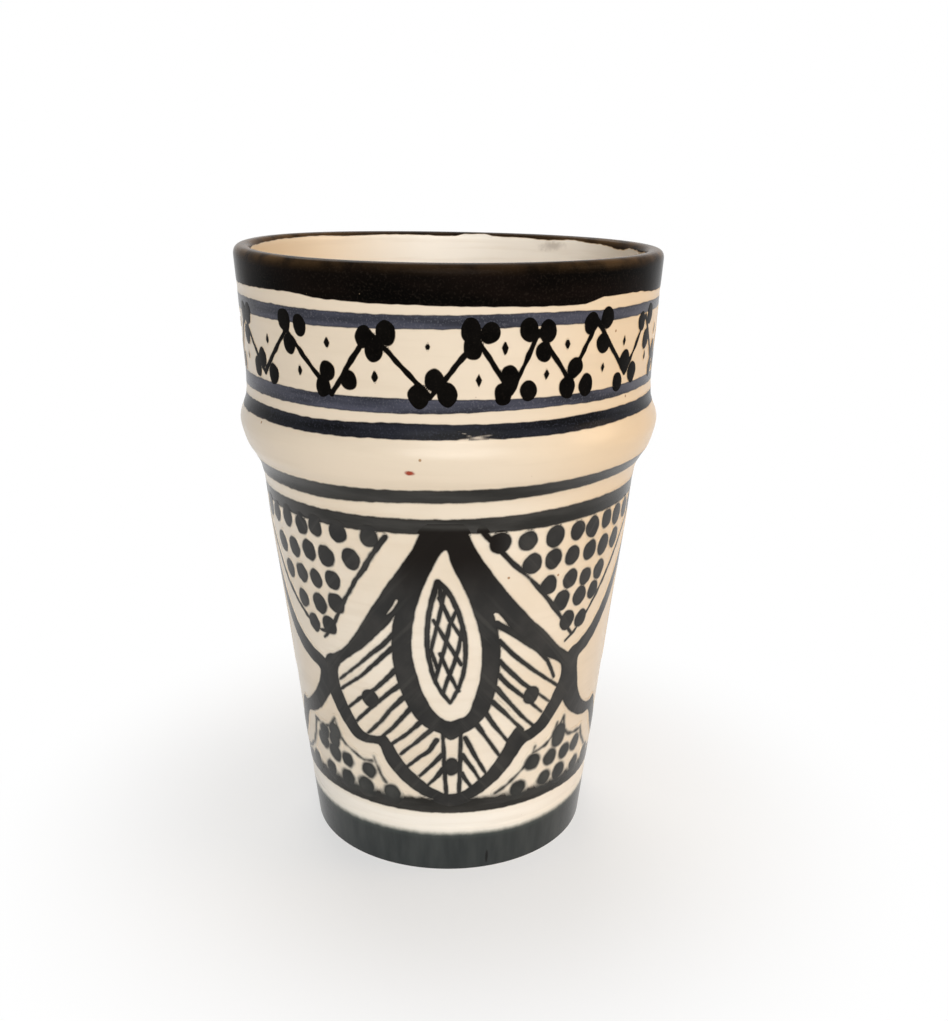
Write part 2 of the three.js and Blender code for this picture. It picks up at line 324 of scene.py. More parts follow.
# The white glaze, outside and inside
# A thick tin glaze, the colour of cream, poured in and dipped over the fired clay and melted to a gloss.
# It pools a little unevenly, with a few iron specks, and one flake of it is gone from the collar.
GLAZE_LOW = 0.35
GLAZE_GLOSS = 0.35
GLAZE_ROUGH = 0.27
GLAZE_CREAM = colour(236, 226, 211)
POOL_SIZE = 26

# Heights between which it is painted paler near the foot, a painted light, and darker above the panel, a
# painted shade
GLAZE_PAINTED_LIGHT = colour(251, 246, 237)
PAINTED_LIGHT_TOP = 17.5
PAINTED_LIGHT_LOW = 12.5
PAINTED_LIGHT_SHARE = 0.9
GLAZE_UPPER_SHADE = colour(226, 212, 192)
UPPER_SHADE_LOW = 76.0
UPPER_SHADE_TOP = 86.0

# How far to the side it is painted warmer, a painted warm light on the right of the outside and the left of
# the inside that shows less low down, and how far to the side the inside is painted darker, a painted shade
GLAZE_WARM_LIGHT = colour(228, 200, 160)
WARM_LIGHT_START = 6.0
WARM_LIGHT_FULL = 42.0
WARM_LIGHT_SHARE = 0.8
WARM_LIGHT_LOW = 25.0
WARM_LIGHT_LOW_SHARE = 0.3
GLAZE_INSIDE_SHADE = colour(186, 174, 156)
INSIDE_SHADE_START = 28.0
INSIDE_SHADE_FULL = 39.0
INSIDE_SHADE_SHARE = 0.5

# Lines and rings from the wheel, swells and orange peel in the melted skin, with their depths
THROWN_LINE = colour(206, 189, 164)
THROWN_SHARE = 0.2
THROWN_SIZE = 1.5
THROWN_STRETCH = (0.07, 0.07, 1)
RINGS_PER_METRE = 260
RING_DEPTH = 0.05
SWELL_SIZE = 14
SWELL_DEPTH = 0.16
PEEL_SIZE = 1.6
PEEL_DEPTH = 0.012

# Iron specks, the flake, small stains, and a grey smudge inside the mouth; places are angles and heights
GLAZE_SPECK = colour(128, 92, 62)
SPECK_SPACING = 5.0
SPECK_REACH = 0.05
SPECK_SHARE = 0.15
FLAKE_PLACE = (-9.4, 88.2)
FLAKE_HALF_SIZE = (1.15, 0.6)
FLAKE_ROUGH = 0.7
FLAKE_RED = colour(150, 62, 40)
STAINS = [
    (-6.8, 90.7), (17.3, 66.5), (34, 65.3), (45.7, 111.3), (52.8, 98.6), (-57, 93), (128, 64), (-142, 90),
]
STAIN_HALF_SIZE = (0.34, 0.34)
STAIN_BROWN = colour(172, 138, 104)
SMUDGE_PLACE = (143.0, 121.7)
SMUDGE_HALF_SIZE = (4.5, 1.6)
SMUDGE_SHARE = 0.55
SMUDGE_GREY = colour(166, 156, 146)


def specks(finish, spacing, reach, share):
    """Small round specks: a share of the cells of a spacing in millimetres has one."""
    cells = finish.add("ShaderNodeTexVoronoi", Vector=finish.place, Scale=1 / (spacing * mm))
    chosen = finish.add("ShaderNodeSeparateColor", Color=cells.outputs["Color"]).outputs["Red"]
    small = finish.spread(cells.outputs["Distance"], reach, reach * 0.4)
    return finish.maths("MULTIPLY", small, finish.spread(chosen, 1 - share, 1 - share * 0.3))


def spot(finish, angle, height, wide, tall, ragged, wall=wall_radius):
    """One uneven spot at a place on the wall, with its half sizes in millimetres."""
    place = by_hand(angle, wall(height), height)
    stretch = np.array([1 / wide, 1 / wide, 1 / tall]) / mm
    around = finish.add("ShaderNodeMapping", Vector=finish.place, Location=-place * stretch, Scale=stretch)
    uneven = finish.maths("MULTIPLY", finish.noise(min(wide, tall), detail=3), ragged)
    away = finish.maths("ADD", finish.length(around.outputs["Vector"]), uneven)
    return finish.spread(away, 1 + ragged * 0.5, 0.7)


def glaze_cream(finish, inner=False):
    """The glaze's colour, which also shows round the brush strokes. Painted light makes it paler inside and
    near the foot, painted shade darker above the panel, and painted warm light warmer towards the right
    outside and the left inside."""
    place = finish.parts(finish.place)
    # Painted light: the glaze is paler inside and near the foot, and thick is the share of it
    thick = PAINTED_LIGHT_SHARE
    if not inner:
        thick = finish.spread(place["Z"], PAINTED_LIGHT_TOP * mm, PAINTED_LIGHT_LOW * mm, 0.0, PAINTED_LIGHT_SHARE)
    # Painted warm light: warmer towards the right of the outside and the left of the inside, less low down
    warm_side = -mm if inner else mm
    warm_lit = finish.spread(place["X"], WARM_LIGHT_START * warm_side, WARM_LIGHT_FULL * warm_side, 0.0, WARM_LIGHT_SHARE)
    warm_light_rise = finish.spread(place["Z"], WARM_LIGHT_LOW * mm, UPPER_SHADE_TOP * mm, WARM_LIGHT_LOW_SHARE, 1)
    pooled = finish.spread(finish.noise(POOL_SIZE, detail=4), 0.32, 0.68)
    # Painted shade: above the panel the glaze is darker, and the pooling only shows lower down
    pooled = finish.maths("MULTIPLY", pooled, finish.spread(place["Z"], UPPER_SHADE_TOP * mm, UPPER_SHADE_LOW * mm))
    cream = finish.mix(pooled, GLAZE_UPPER_SHADE, GLAZE_CREAM)
    cream = finish.mix(thick, cream, GLAZE_PAINTED_LIGHT)
    cream = finish.mix(finish.maths("MULTIPLY", warm_lit, warm_light_rise), cream, GLAZE_WARM_LIGHT)
    thrown = finish.noise(THROWN_SIZE, detail=4, stretch=THROWN_STRETCH)
    cream = finish.mix(finish.spread(thrown, 0.45, 0.8, 0.0, THROWN_SHARE), cream, THROWN_LINE)
    return finish.mix(specks(finish, SPECK_SPACING, SPECK_REACH, SPECK_SHARE), cream, GLAZE_SPECK)


def glaze_skin(finish):
    """The melted surface: rings from the wheel, slow swells and a fine orange peel."""
    rings = finish.add("ShaderNodeTexNoise", Scale=RINGS_PER_METRE, Detail=4)
    rings.noise_dimensions = "1D"
    finish.feed(rings.inputs["W"], finish.parts(finish.place)["Z"])
    skin = finish.bump(rings.outputs["Fac"], RING_DEPTH)
    skin = finish.bump(finish.noise(SWELL_SIZE, detail=1), SWELL_DEPTH, after=skin)
    return finish.bump(finish.noise(PEEL_SIZE, detail=1), PEEL_DEPTH, after=skin)


outside = Finish("outside_glaze", roughness=GLAZE_ROUGH, specular=GLAZE_GLOSS)
flake = spot(outside, *FLAKE_PLACE, *FLAKE_HALF_SIZE, ragged=0.5)
outside_cream = glaze_cream(outside)
for stain_place in STAINS:
    stain = spot(outside, *stain_place, *STAIN_HALF_SIZE, ragged=0.3)
    outside_cream = outside.mix(stain, outside_cream, STAIN_BROWN)
outside_glaze = outside.use(
    Base_Color=outside.mix(flake, outside_cream, FLAKE_RED),
    Roughness=outside.spread(flake, 0, 1, GLAZE_ROUGH, FLAKE_ROUGH),
    Normal=glaze_skin(outside),
)

outside_shell = outside_line(GLAZE_LOW, 0) + lip_arc(0, 90, 0)[1:]
outside_shell += lip_arc(90, 0, -GLAZE) + outside_line(GLAZE_LOW, -GLAZE)[-2::-1]
fired(turned(outside_shell), "outside_glaze", outside_glaze, "white_glaze", "outer_glaze")

inside = Finish("inside_glaze", roughness=GLAZE_ROUGH, specular=GLAZE_GLOSS)
smudge = spot(inside, *SMUDGE_PLACE, *SMUDGE_HALF_SIZE, ragged=1.2, wall=inside_radius)
smudge = inside.maths("MULTIPLY", smudge, SMUDGE_SHARE)
# Painted shade: the inside is darker towards its right
inside_shade = inside.spread(inside.parts(inside.place)["X"], INSIDE_SHADE_START * mm, INSIDE_SHADE_FULL * mm, 0.0, INSIDE_SHADE_SHARE)
inside_cream = inside.mix(inside_shade, glaze_cream(inside, inner=True), GLAZE_INSIDE_SHADE)
inside_glaze = inside.use(
    Base_Color=inside.mix(smudge, inside_cream, SMUDGE_GREY),
    Normal=glaze_skin(inside),
)

inside_shell = inside_line(GLAZE)[::-1] + lip_arc(180, 90, -GLAZE)
inside_shell += lip_arc(90, 180, 0) + inside_line(0)
fired(turned(inside_shell), "inside_glaze", inside_glaze, "white_glaze", "inner_glaze")


# The black rim
# Thick black-brown oxide, brushed round the lip while the cup turned on a banding wheel.
# It covers the whole lip, ends in a wavy edge inside, and the brush was lifted off at the front right.
FAR = 6.0
PAINT_LOW = 0.012
PAINT_RISE = 0.04
LIP_RUN = math.pi * LIP_ROUND
LIP_CREST = LIP_START + LIP_RUN / 2
WAVES = 6
WAVES_SUM = 2.4
WALL_ABOUT = 40
RAGGED_SIZE = 2.6
RAGGED_SEED = 5
EDGE_PASSES = 3
LEAST_SLOPE = 0.4


def over_lip(run):
    """Radius, height and the two parts of the outward direction, along a run up the wall, over the lip
    and down inside."""
    out, up = lip_curve(np.clip(run - LIP_START, 0, LIP_RUN) / LIP_ROUND)
    inner = np.clip(run - LIP_START - LIP_RUN, 0, None)
    radius = np.where(run < LIP_START, wall_radius(run), LIP_MIDDLE + LIP_ROUND * out)
    height = np.where(run < LIP_START, run, LIP_START + LIP_ROUND * up) - inner
    radius = np.where(inner > 0, inside_radius(height), radius)
    out, up = np.sign(out) * np.abs(out) ** (LIP_FULLNESS - 1), up ** (LIP_FULLNESS - 1)
    length = np.hypot(out, up)
    return radius, height, out / length, up / length


def waver(angle, run, size, seed):
    """Unevenness of about plus or minus one, with waves of about a size in millimetres."""
    random = np.random.default_rng(seed)
    turn = np.radians(angle)
    total = np.zeros(np.shape(turn))
    for _ in range(WAVES):
        east, north, up = random.normal(size=3)
        pace = math.tau / size / math.sqrt(east * east + north * north + up * up)
        around = WALL_ABOUT * (east * np.sin(turn) - north * np.cos(turn))
        total += np.sin((around + up * run) * pace * random.uniform(0.7, 1.4) + random.uniform(0, math.tau))
    return total / WAVES_SUM


def brushed(name, window, own, material, slot, node, under=(), margin=0.3, cell=0.3, lift=0.0, ragged=0.05):
    """A thin layer of paint wherever its own ink reaches, laid on the wall between two angles and two runs.
    Each point keeps how far inside the ink it lies, in millimetres, counting the ink already under it."""
    left, right, low, high = window
    columns = round(math.radians(right - left) * wall_radius((low + high) / 2) / cell)
    rows = round((high - low) / cell)

    def inked(angle, run):
        return own(angle, run) + ragged * waver(angle, run, RAGGED_SIZE, RAGGED_SEED)

    def reach(angle, run):
        return inked(angle, run) - margin

    def flat_places(points):
        flat = np.array([point.co[:2] for point in points])
        return left + (flat[:, 0] + 0.5) * (right - left), low + (flat[:, 1] + 0.5) * (high - low)

    layer = bmesh.new()
    bmesh.ops.create_grid(layer, x_segments=columns, y_segments=rows, size=0.5)
    outside_by = reach(*flat_places(layer.verts))
    layer.verts.index_update()
    bare = [face for face in layer.faces if sum(outside_by[point.index] for point in face.verts) > 0]
    bmesh.ops.delete(layer, geom=bare, context="FACES")

    layer.verts.ensure_lookup_table()
    angle, run = flat_places(layer.verts)
    edge = np.array([point.is_boundary for point in layer.verts])
    inside_window = (run > low + cell / 2) & (run < high - cell / 2)
    inside_window &= (angle > left + 1e-3) & (angle < right - 1e-3)
    free = np.nonzero(edge & inside_window)[0]
    step = cell / 4
    furthest = cell * 0.6
    for _ in range(EDGE_PASSES):
        per_degree = np.radians(1) * over_lip(run[free])[0]
        turn = step / per_degree
        short = reach(angle[free], run[free])
        across = reach(angle[free] + turn, run[free]) - reach(angle[free] - turn, run[free])
        along = reach(angle[free], run[free] + step) - reach(angle[free], run[free] - step)
        change = np.hypot(across, along)
        move = np.clip(short / np.maximum(change / (2 * step), LEAST_SLOPE), -furthest, furthest)
        change = np.maximum(change, 1e-9)
        angle[free] -= move * across / change / per_degree
        run[free] -= move * along / change

    ink = inked(angle, run)
    radius, height, out, up = over_lip(run)
    stand = PAINT_LOW + lift + PAINT_RISE * np.clip(0.5 - reach(angle, run), 0.2, 1)
    places = by_hand(angle, radius + stand * out, height + stand * up)
    beneath = np.full(len(ink), -FAR)
    for stroke in under:
        beneath = np.maximum(beneath, -stroke(angle, run))
    depth_layer = layer.verts.layers.float.new("inside_ink")
    beneath_layer = layer.verts.layers.float.new("under_ink")
    way_layer = layer.verts.layers.float_vector.new("brush_way")
    way = np.stack([np.radians(angle) * LIP_MIDDLE, run, np.zeros(len(run))], axis=-1) * mm
    depths = np.maximum(-ink, beneath)
    for point, place, depth, below, onward in zip(layer.verts, places, depths, beneath, way):
        point.co = place
        point[depth_layer] = depth
        point[beneath_layer] = below
        point[way_layer] = onward
    if right - left == 360:
        bmesh.ops.remove_doubles(layer, verts=layer.verts, dist=1e-6)
    layer.normal_update()
    bmesh.ops.solidify(layer, geom=layer.faces, thickness=(PAINT_LOW + PAINT_RISE + lift) * mm)
    fired(layer, name, material, slot, node)


class Paint(Finish):
    """Oxide brushed on the raw glaze and melted into it: its strength varies, and its edge bleeds.
    Its colours are given as they are seen on a screen."""

    def __init__(self, name, thick, thin, pool, soft, bleed, bleed_colour, streak,
                 gloss=0.18, rough=0.24, fray=0.9):
        super().__init__(name, roughness=rough, specular=gloss)
        self.rough = rough
        self.way = self.kept("brush_way", "Vector")
        frayed = self.maths("MULTIPLY_ADD", self.noise(0.8, detail=3), soft * fray, -soft * fray / 2)
        self.depth = self.maths("ADD", self.kept("inside_ink", "Fac"), frayed)
        self.cover = self.spread(self.depth, -soft, soft)
        pooled = self.maths("MULTIPLY", self.spread(self.depth, soft * 2.5, 0.0), 0.6)
        self.paint = self.mix(pooled, self.wash(thick, thin, streak), colour(*pool))
        bled = self.spread(self.depth, -bleed, soft, 0.0, 0.55)
        self.ground = self.mix(bled, glaze_cream(self), colour(*bleed_colour))

    def kept(self, name, output):
        """What each point of a brushed layer keeps about itself."""
        node = self.tree.nodes.new("ShaderNodeAttribute")
        node.attribute_name = name
        return node.outputs[output]

    def grained(self, size, share, tone):
        """Fine grains of another tone in the paint."""
        grains = self.spread(self.noise(size, detail=2), 0.52, 0.7, 0.0, share)
        self.paint = self.mix(grains, self.paint, colour(*tone))

    def wash(self, thick, thin, streak):
        """The paint's own colour, thick and thin along the brush."""
        hairs = self.noise(5, detail=4, place=self.way, stretch=streak)
        return self.mix(self.spread(hairs, 0.3, 0.72), colour(*thick), colour(*thin))

    def done(self):
        return self.use(
            Base_Color=self.mix(self.cover, self.ground, self.paint),
            Roughness=self.spread(self.cover, 0, 1, GLAZE_ROUGH, self.rough),
            Normal=glaze_skin(self),
        )


# Where the black begins on the outside wall, and where it ends inside
RIM_EDGE_ANGLES = np.array([-180, -120, -65, -42, -32, -20, 0, 20, 34, 40, 55, 64, 110, 180])
RIM_EDGE_HEIGHTS = np.array([
    117.2, 117.6, 117.9, 118.2, 117.5, 117.3, 117.1, 116.8, 116.7, 117.7, 117.8, 117.2, 117.0, 117.2,
])
# Behind, between 165 and 178 degrees, the black ends nearer the crest, leaving the white glaze bare as a
# painted glint
RIM_END_ANGLES = np.array([-180, -120, -90, 0, 90, 108, 118, 135, 147, 155, 165, 168, 175, 178, 180])
RIM_END_RUNS = LIP_START + np.array([
    4.5, 4.4, 4.6, 4.8, 4.9, 5.2, 5.1, 4.5, 4.8, 4.4, 4.4, 3.8, 3.9, 4.4, 4.5,
])
RIM_WANDER = 0.1
RIM_WAVE = 12
RIM_SEED = 3
RIM_LOW = 115.5
RIM_HIGH = LIP_START + LIP_RUN + 1.5

# The lip is worn to brown along its crest, and the brown that grows towards both sides is a painted
# reflection
RIM_BROWN = colour(92, 70, 45)
WORN_EDGE = 3.2
WORN_CREST = 0.8
SHEEN_START = 12
SHEEN_FULL = 39
WEAR_SHARE_MIDDLE = 0.3
RIM_PINHOLE = colour(112, 98, 80)


def rim_ink(angle, run):
    turn = turn_from(0, angle)
    low = np.interp(turn, RIM_EDGE_ANGLES, RIM_EDGE_HEIGHTS)
    high = np.interp(turn, RIM_END_ANGLES, RIM_END_RUNS)
    high = high + RIM_WANDER * waver(angle, 0 * run, RIM_WAVE, RIM_SEED)
    return np.maximum(low - run, run - high)


rim = Paint("rim_black", thick=(5, 4, 3), thin=(18, 12, 9), pool=(4, 3, 3), soft=0.09, bleed=0.15,
            bleed_colour=(90, 70, 50), streak=(0.25, 1, 1), gloss=0.014, rough=0.2)
rim.grained(0.4, 0.35, (40, 34, 29))
from_crest = rim.maths("ABSOLUTE", rim.maths("SUBTRACT", rim.parts(rim.way)["Y"], LIP_CREST * mm))
rim_side = rim.maths("ABSOLUTE", rim.parts(rim.place)["X"])
worn_crest = rim.spread(from_crest, WORN_EDGE * mm, WORN_CREST * mm)
# Painted reflection: the brown grows towards both sides of the lip
sheen_side = rim.spread(rim_side, SHEEN_START * mm, SHEEN_FULL * mm, WEAR_SHARE_MIDDLE, 1)
wear_and_sheen = rim.maths("MULTIPLY", worn_crest, sheen_side)
wear_and_sheen = rim.maths("MULTIPLY", wear_and_sheen, rim.spread(rim.noise(5, detail=4), 0.2, 0.62))
rim.paint = rim.mix(wear_and_sheen, rim.paint, RIM_BROWN)
rim.paint = rim.mix(specks(rim, spacing=3.0, reach=0.045, share=0.3), rim.paint, RIM_PINHOLE)
brushed("brushed_rim", (-180, 180, RIM_LOW, RIM_HIGH), rim_ink, rim.done(), "black_paint", "rim_band",
        margin=0.12)


# The bands
# Blue-grey and charcoal oxide, brushed round the cup on the banding wheel, so that their edges wander.
# The upper ones are crisp and dark along both edges, and the lower ones bleed a little into the glaze.
FOOT_BLEED = 0.4
EDGE_WANDER = 0.12
EDGE_WAVE = 30
BAND_SEED = 20
BAND_ROOM = 2.5


def across_wall(angle, middle, height):
    """Millimetres round the wall from a middle angle."""
    return np.radians(turn_from(middle, angle)) * wall_radius(height)


def near_only(measure, middle, xs, heights):
    """An ink that is only worked out close to its stroke."""
    left, right, low, high = min(xs) - FAR, max(xs) + FAR, min(heights) - FAR, max(heights) + FAR

    def ink(angle, height):
        x = across_wall(angle, middle, height)
        near = (x > left) & (x < right) & (height > low) & (height < high)
        distance = np.full(x.shape, FAR)
        distance[near] = np.minimum(measure(x[near], height[near]), FAR)
        return distance

    return ink


def dab(angle, height, half_width, half_height, lean=0.0):
    """One touch of a round brush, in millimetres, leaning by an angle in degrees."""
    turn = math.radians(lean)

    def measure(x, z):
        z = z - height
        side = (x * math.cos(turn) + z * math.sin(turn)) / half_width
        up = (z * math.cos(turn) - x * math.sin(turn)) / half_height
        return (np.hypot(side, up) - 1) * min(half_width, half_height)

    reach = max(half_width, half_height)
    return near_only(measure, angle, (-reach, reach), (height - reach, height + reach))


def without(ink, *holes):
    def cut(angle, height):
        distance = ink(angle, height)
        for hole in holes:
            distance = np.maximum(distance, -hole(angle, height))
        return distance

    return cut


def band_ink(node, low_tilt, high_tilt, run_up, seed):
    """The ink of a band at a solid's height, whose edges rise towards the right by a tilt in millimetres.
    Where its upper edge ran, it fades out over several times the length."""
    low, high = (corner.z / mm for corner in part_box(node))
    bottom = low
    if node == "foot_band":
        bottom = -FAR
        high += FOOT_BLEED

    def ink(angle, run):
        rise = np.sin(np.radians(angle))
        low_edge = bottom + low_tilt * rise + EDGE_WANDER * waver(angle, 0 * run, EDGE_WAVE, seed)
        high_edge = high + high_tilt * rise + EDGE_WANDER * waver(angle, 0 * run, EDGE_WAVE, seed + 1)
        return np.maximum(low_edge - run, (run - high_edge) / run_up)

    return ink, low, high


CRISP = {"soft": 0.12, "bleed": 0.2, "bleed_colour": (110, 108, 112), "streak": (0.3, 2.2, 1)}
blue = Paint("band_blue", thick=(42, 44, 53), thin=(74, 76, 90), pool=(14, 14, 17), gloss=0.12, **CRISP)
blue.grained(0.36, 0.45, (94, 94, 104))
band_blue = blue.done()
navy = Paint("band_navy", thick=(12, 13, 16), thin=(36, 38, 46), pool=(8, 8, 10), gloss=0.05, **CRISP)
navy.grained(0.36, 0.4, (56, 58, 70))
band_navy = navy.done()
BAND_WASH = {"thick": (32, 31, 28), "thin": (58, 57, 55), "streak": (0.25, 1.6, 1)}
charcoal = Paint("band_charcoal", pool=(30, 28, 25), soft=0.2, bleed=0.4, bleed_colour=(140, 136, 126),
                 **BAND_WASH)
band_charcoal = charcoal.done()

# A dark drip runs down the foot's band
DRIP_PLACE = (15.0, 3.0)
DRIP_HALF_SIZE = (0.4, 2.4)
DRIP_DARK = colour(24, 24, 24)
footed = Paint("band_foot", thick=(46, 50, 51), thin=(60, 64, 64), pool=(76, 84, 82), soft=0.7, bleed=1.4,
               bleed_colour=(158, 164, 154), streak=(1.2, 0.3, 1), fray=0.4)
drip = spot(footed, *DRIP_PLACE, *DRIP_HALF_SIZE, ragged=0.5)
footed.paint = footed.mix(drip, footed.paint, DRIP_DARK)
band_foot = footed.done()

# A scrape through the collar's upper band, down to the glaze; the bare streak is also a painted highlight
# there
SCRAPE_AND_GLINT = (dab(7.2, 94.6, 1.5, 0.16, 5), dab(4.0, 95.1, 0.8, 0.12, -20))

band_inks = {}
for node, low_tilt, high_tilt, run_up, material, slot, margin in (
    ("frieze_top_band", 0.45, -0.1, 1, band_blue, "blue_paint", 0.2),
    ("frieze_bottom_band", 0.6, 0.0, 1, band_blue, "blue_paint", 0.2),
    ("collar_top_band", 0.5, 0.5, 1, band_navy, "blue_paint", 0.2),
    ("collar_bottom_band", 1.6, 1.1, 1, band_charcoal, "charcoal_paint", 0.4),
    ("panel_top_band", 0.5, 0.8, 1, band_charcoal, "charcoal_paint", 0.4),
    ("panel_bottom_band", -0.1, -0.2, 2.6, band_charcoal, "charcoal_paint", 0.4),
    ("foot_band", 0.0, 0.0, 1, band_foot, "charcoal_paint", 1.6),
):
    ink, low, high = band_ink(node, low_tilt, high_tilt, run_up, seed=BAND_SEED + len(band_inks))
    if node == "collar_top_band":
        ink = without(ink, *SCRAPE_AND_GLINT)
    band_inks[node] = ink
    window = (-180, 180, max(low - BAND_ROOM, GLAZE_LOW), high + BAND_ROOM)
    brushed("brushed_" + node, window, ink, material, slot, node, margin=margin, cell=0.36)


# The frieze under the rim
# A zigzag with three round dabs of a full brush at each point and a small lozenge in each space.
# It is painted freehand in thick black oxide, over the edges of the two bands.
def to_line(x, z, x0, z0, x1, z1):
    """Distance to a straight stroke, and how far along it the nearest point lies."""
    length = (x1 - x0) ** 2 + (z1 - z0) ** 2
    share = np.clip(((x - x0) * (x1 - x0) + (z - z0) * (z1 - z0)) / length, 0, 1)
    return np.hypot(x - x0 - share * (x1 - x0), z - z0 - share * (z1 - z0)), share


def line(points, width, end_width=None):
    """A brush line through points, each an angle and a height; it may thin out towards its end."""
    angles, heights = np.array(points, float).T
    middle = angles.mean()
    xs = across_wall(angles, middle, heights)
    halves = np.linspace(width, width if end_width is None else end_width, len(points)) / 2

    def measure(x, z):
        nearest = np.full(x.shape, np.inf)
        for index in range(len(points) - 1):
            away, share = to_line(x, z, xs[index], heights[index], xs[index + 1], heights[index + 1])
            half = halves[index] + share * (halves[index + 1] - halves[index])
            nearest = np.minimum(nearest, away - half)
        return nearest

    return near_only(measure, middle, xs, heights)


def lozenge(angle, height, half_width, half_height):
    """A small pointed touch of the brush's tip."""
    def measure(x, z):
        flat = abs(x) / half_width + abs(z - height) / half_height - 1
        return flat * half_width * half_height / math.hypot(half_width, half_height)

    heights = (height - half_height, height + half_height)
    return near_only(measure, angle, (-half_width, half_width), heights)


def joined(inks):
    def ink(angle, height):
        distance = np.full(np.shape(angle), FAR)
        for stroke in inks:
            distance = np.minimum(distance, stroke(angle, height))
        return distance

    return ink


ZIGZAG_LINE = 0.95
DAB_HALF_WIDTH = 1.65
DAB_HALF_HEIGHT = 2.0
DAB_SIZES = (0.92, 1.08)
DAB_LEANS = (-18, 18)
LOZENGE_HALF_WIDTH = 0.55
LOZENGE_HALF_HEIGHT = 1.2

# At the front, each point of the zigzag and its three dabs, as angles and heights
TOPS_SEEN = [
    ((-44, 111.5), (-44.5, 113), (-39, 112.5), (-43, 109)),
    ((-19, 112.5), (-20.5, 111.5), (-15, 112.3), (-18, 109.3)),
    ((6.5, 111.5), (5, 113), (9.5, 112.5), (5.5, 110)),
    ((21.5, 112.5), (19, 112.8), (24, 112.5), (23, 109)),
    ((38.5, 113.5), (36.5, 113.2), (42, 114), (41, 109.5)),
    ((61, 113), (58.5, 112), (64.5, 113), (62.5, 108.5)),
]
LOWS_SEEN = [
    ((-55.5, 102.5), (-56.5, 105.3), (-60, 103.3), (-51, 102.8)),
    ((-30, 101), (-31, 105), (-32.5, 102.3), (-25, 103.8)),
    ((-4.5, 101.5), (-3.5, 104.5), (-7.5, 101.6), (-0.5, 102)),
    ((15, 102), (14.5, 105), (13, 102), (19.3, 102.3)),
    ((30.5, 103.5), (32.2, 105.7), (30, 102.3), (36, 102.4)),
    ((51, 103), (50.5, 105.5), (48, 101.8), (55, 103)),
]
LOZENGES_SEEN = [
    (-52.6, 108.8), (-30.6, 110), (-5, 110.2), (13.2, 110), (29.5, 110), (49.7, 109.2),
    (-40, 104.4), (-18, 104.6), (7, 104.5), (24, 105), (41.5, 105), (62.8, 105.2),
]
# Behind, the same hand goes on in about equal steps
TOPS_BEHIND = [84, 106, 127, 148, 169, 190, 211, 232, 253, 273, 292]
LOWS_BEHIND = [72, 95, 116, 138, 158, 180, 200, 222, 242, 263, 282]
TOP_HEIGHT = 112.3
LOW_HEIGHT = 102.3
TOP_DABS = ((-1.6, 112.7), (3.7, 112.9), (1.0, 109.2))
LOW_DABS = ((-0.5, 105.2), (-3, 102.4), (4, 102.8))
UNDER_TOP = (0.8, 104.7)
OVER_LOW = (-0.5, 109.8)
HAND_SHIFT = 0.6
HAND_SEED = 11
FRIEZE_LOW = 98.5
FRIEZE_HIGH = 117
OVER_BANDS = 0.05

hand = np.random.default_rng(HAND_SEED)


def points_behind(angles, height, dabs):
    groups = []
    for angle in angles:
        shifts = hand.uniform(-HAND_SHIFT, HAND_SHIFT, (4, 2))
        point = (angle + shifts[0, 0], height + shifts[0, 1])
        touches = [(angle + side + shift[0], up + shift[1]) for (side, up), shift in zip(dabs, shifts[1:])]
        groups.append((point, *touches))
    return groups


tops = TOPS_SEEN + points_behind(TOPS_BEHIND, TOP_HEIGHT, TOP_DABS)
lows = LOWS_SEEN + points_behind(LOWS_BEHIND, LOW_HEIGHT, LOW_DABS)
zigzag_points = sorted([group[0] for group in tops + lows])
first_point = zigzag_points[0]
zigzag_points.append((first_point[0] + 360, first_point[1]))

frieze_strokes = [line(pair, ZIGZAG_LINE) for pair in zip(zigzag_points, zigzag_points[1:])]
for group in tops + lows:
    for angle, height in group[1:]:
        size = hand.uniform(*DAB_SIZES)
        lean = hand.uniform(*DAB_LEANS)
        frieze_strokes.append(dab(angle, height, DAB_HALF_WIDTH * size, DAB_HALF_HEIGHT * size, lean))
lozenges = LOZENGES_SEEN + [(angle + UNDER_TOP[0], UNDER_TOP[1]) for angle in TOPS_BEHIND]
lozenges += [(angle + OVER_LOW[0], OVER_LOW[1]) for angle in LOWS_BEHIND]
for angle, height in lozenges:
    frieze_strokes.append(lozenge(angle, height, LOZENGE_HALF_WIDTH, LOZENGE_HALF_HEIGHT))

frieze = Paint("frieze_black", thick=(5, 4, 3), thin=(13, 11, 9), pool=(4, 4, 3), soft=0.1, bleed=0.12,
               bleed_colour=(80, 66, 54), streak=(1, 1, 1), gloss=0.02, rough=0.2)
frieze.grained(0.4, 0.15, (44, 38, 33))
frieze_bands = (band_inks["frieze_top_band"], band_inks["frieze_bottom_band"])
brushed("brushed_frieze", (-180, 180, FRIEZE_LOW, FRIEZE_HIGH), joined(frieze_strokes), frieze.done(),
        "black_paint", "frieze_zigzag", under=frieze_bands, margin=0.06, cell=0.26, lift=OVER_BANDS,
        ragged=0.09)


# The palmettes
# Four large leaves round the lower wall, each with arms from its apex, a ring round its seed and lobes.
# They are brushed in thinner charcoal oxide, which bleeds; the front and back ones are finely hatched.
DEGREE_ABOUT = 0.62


def curve(points, per_span=4):
    """A smooth closed outline through points, each an angle and a height."""
    knots = np.array(points[-2:] + points + points[:3], float)
    steps = np.hypot(np.diff(knots[:, 0]) * DEGREE_ABOUT, np.diff(knots[:, 1]))
    run = np.concatenate([[0], np.cumsum(steps)])
    ends = zip(run[2:], run[3:len(points) + 3])
    at = np.concatenate([np.linspace(start, end, per_span, endpoint=False) for start, end in ends])
    return smooth_between(at, run, knots[:, 0]), smooth_between(at, run, knots[:, 1])


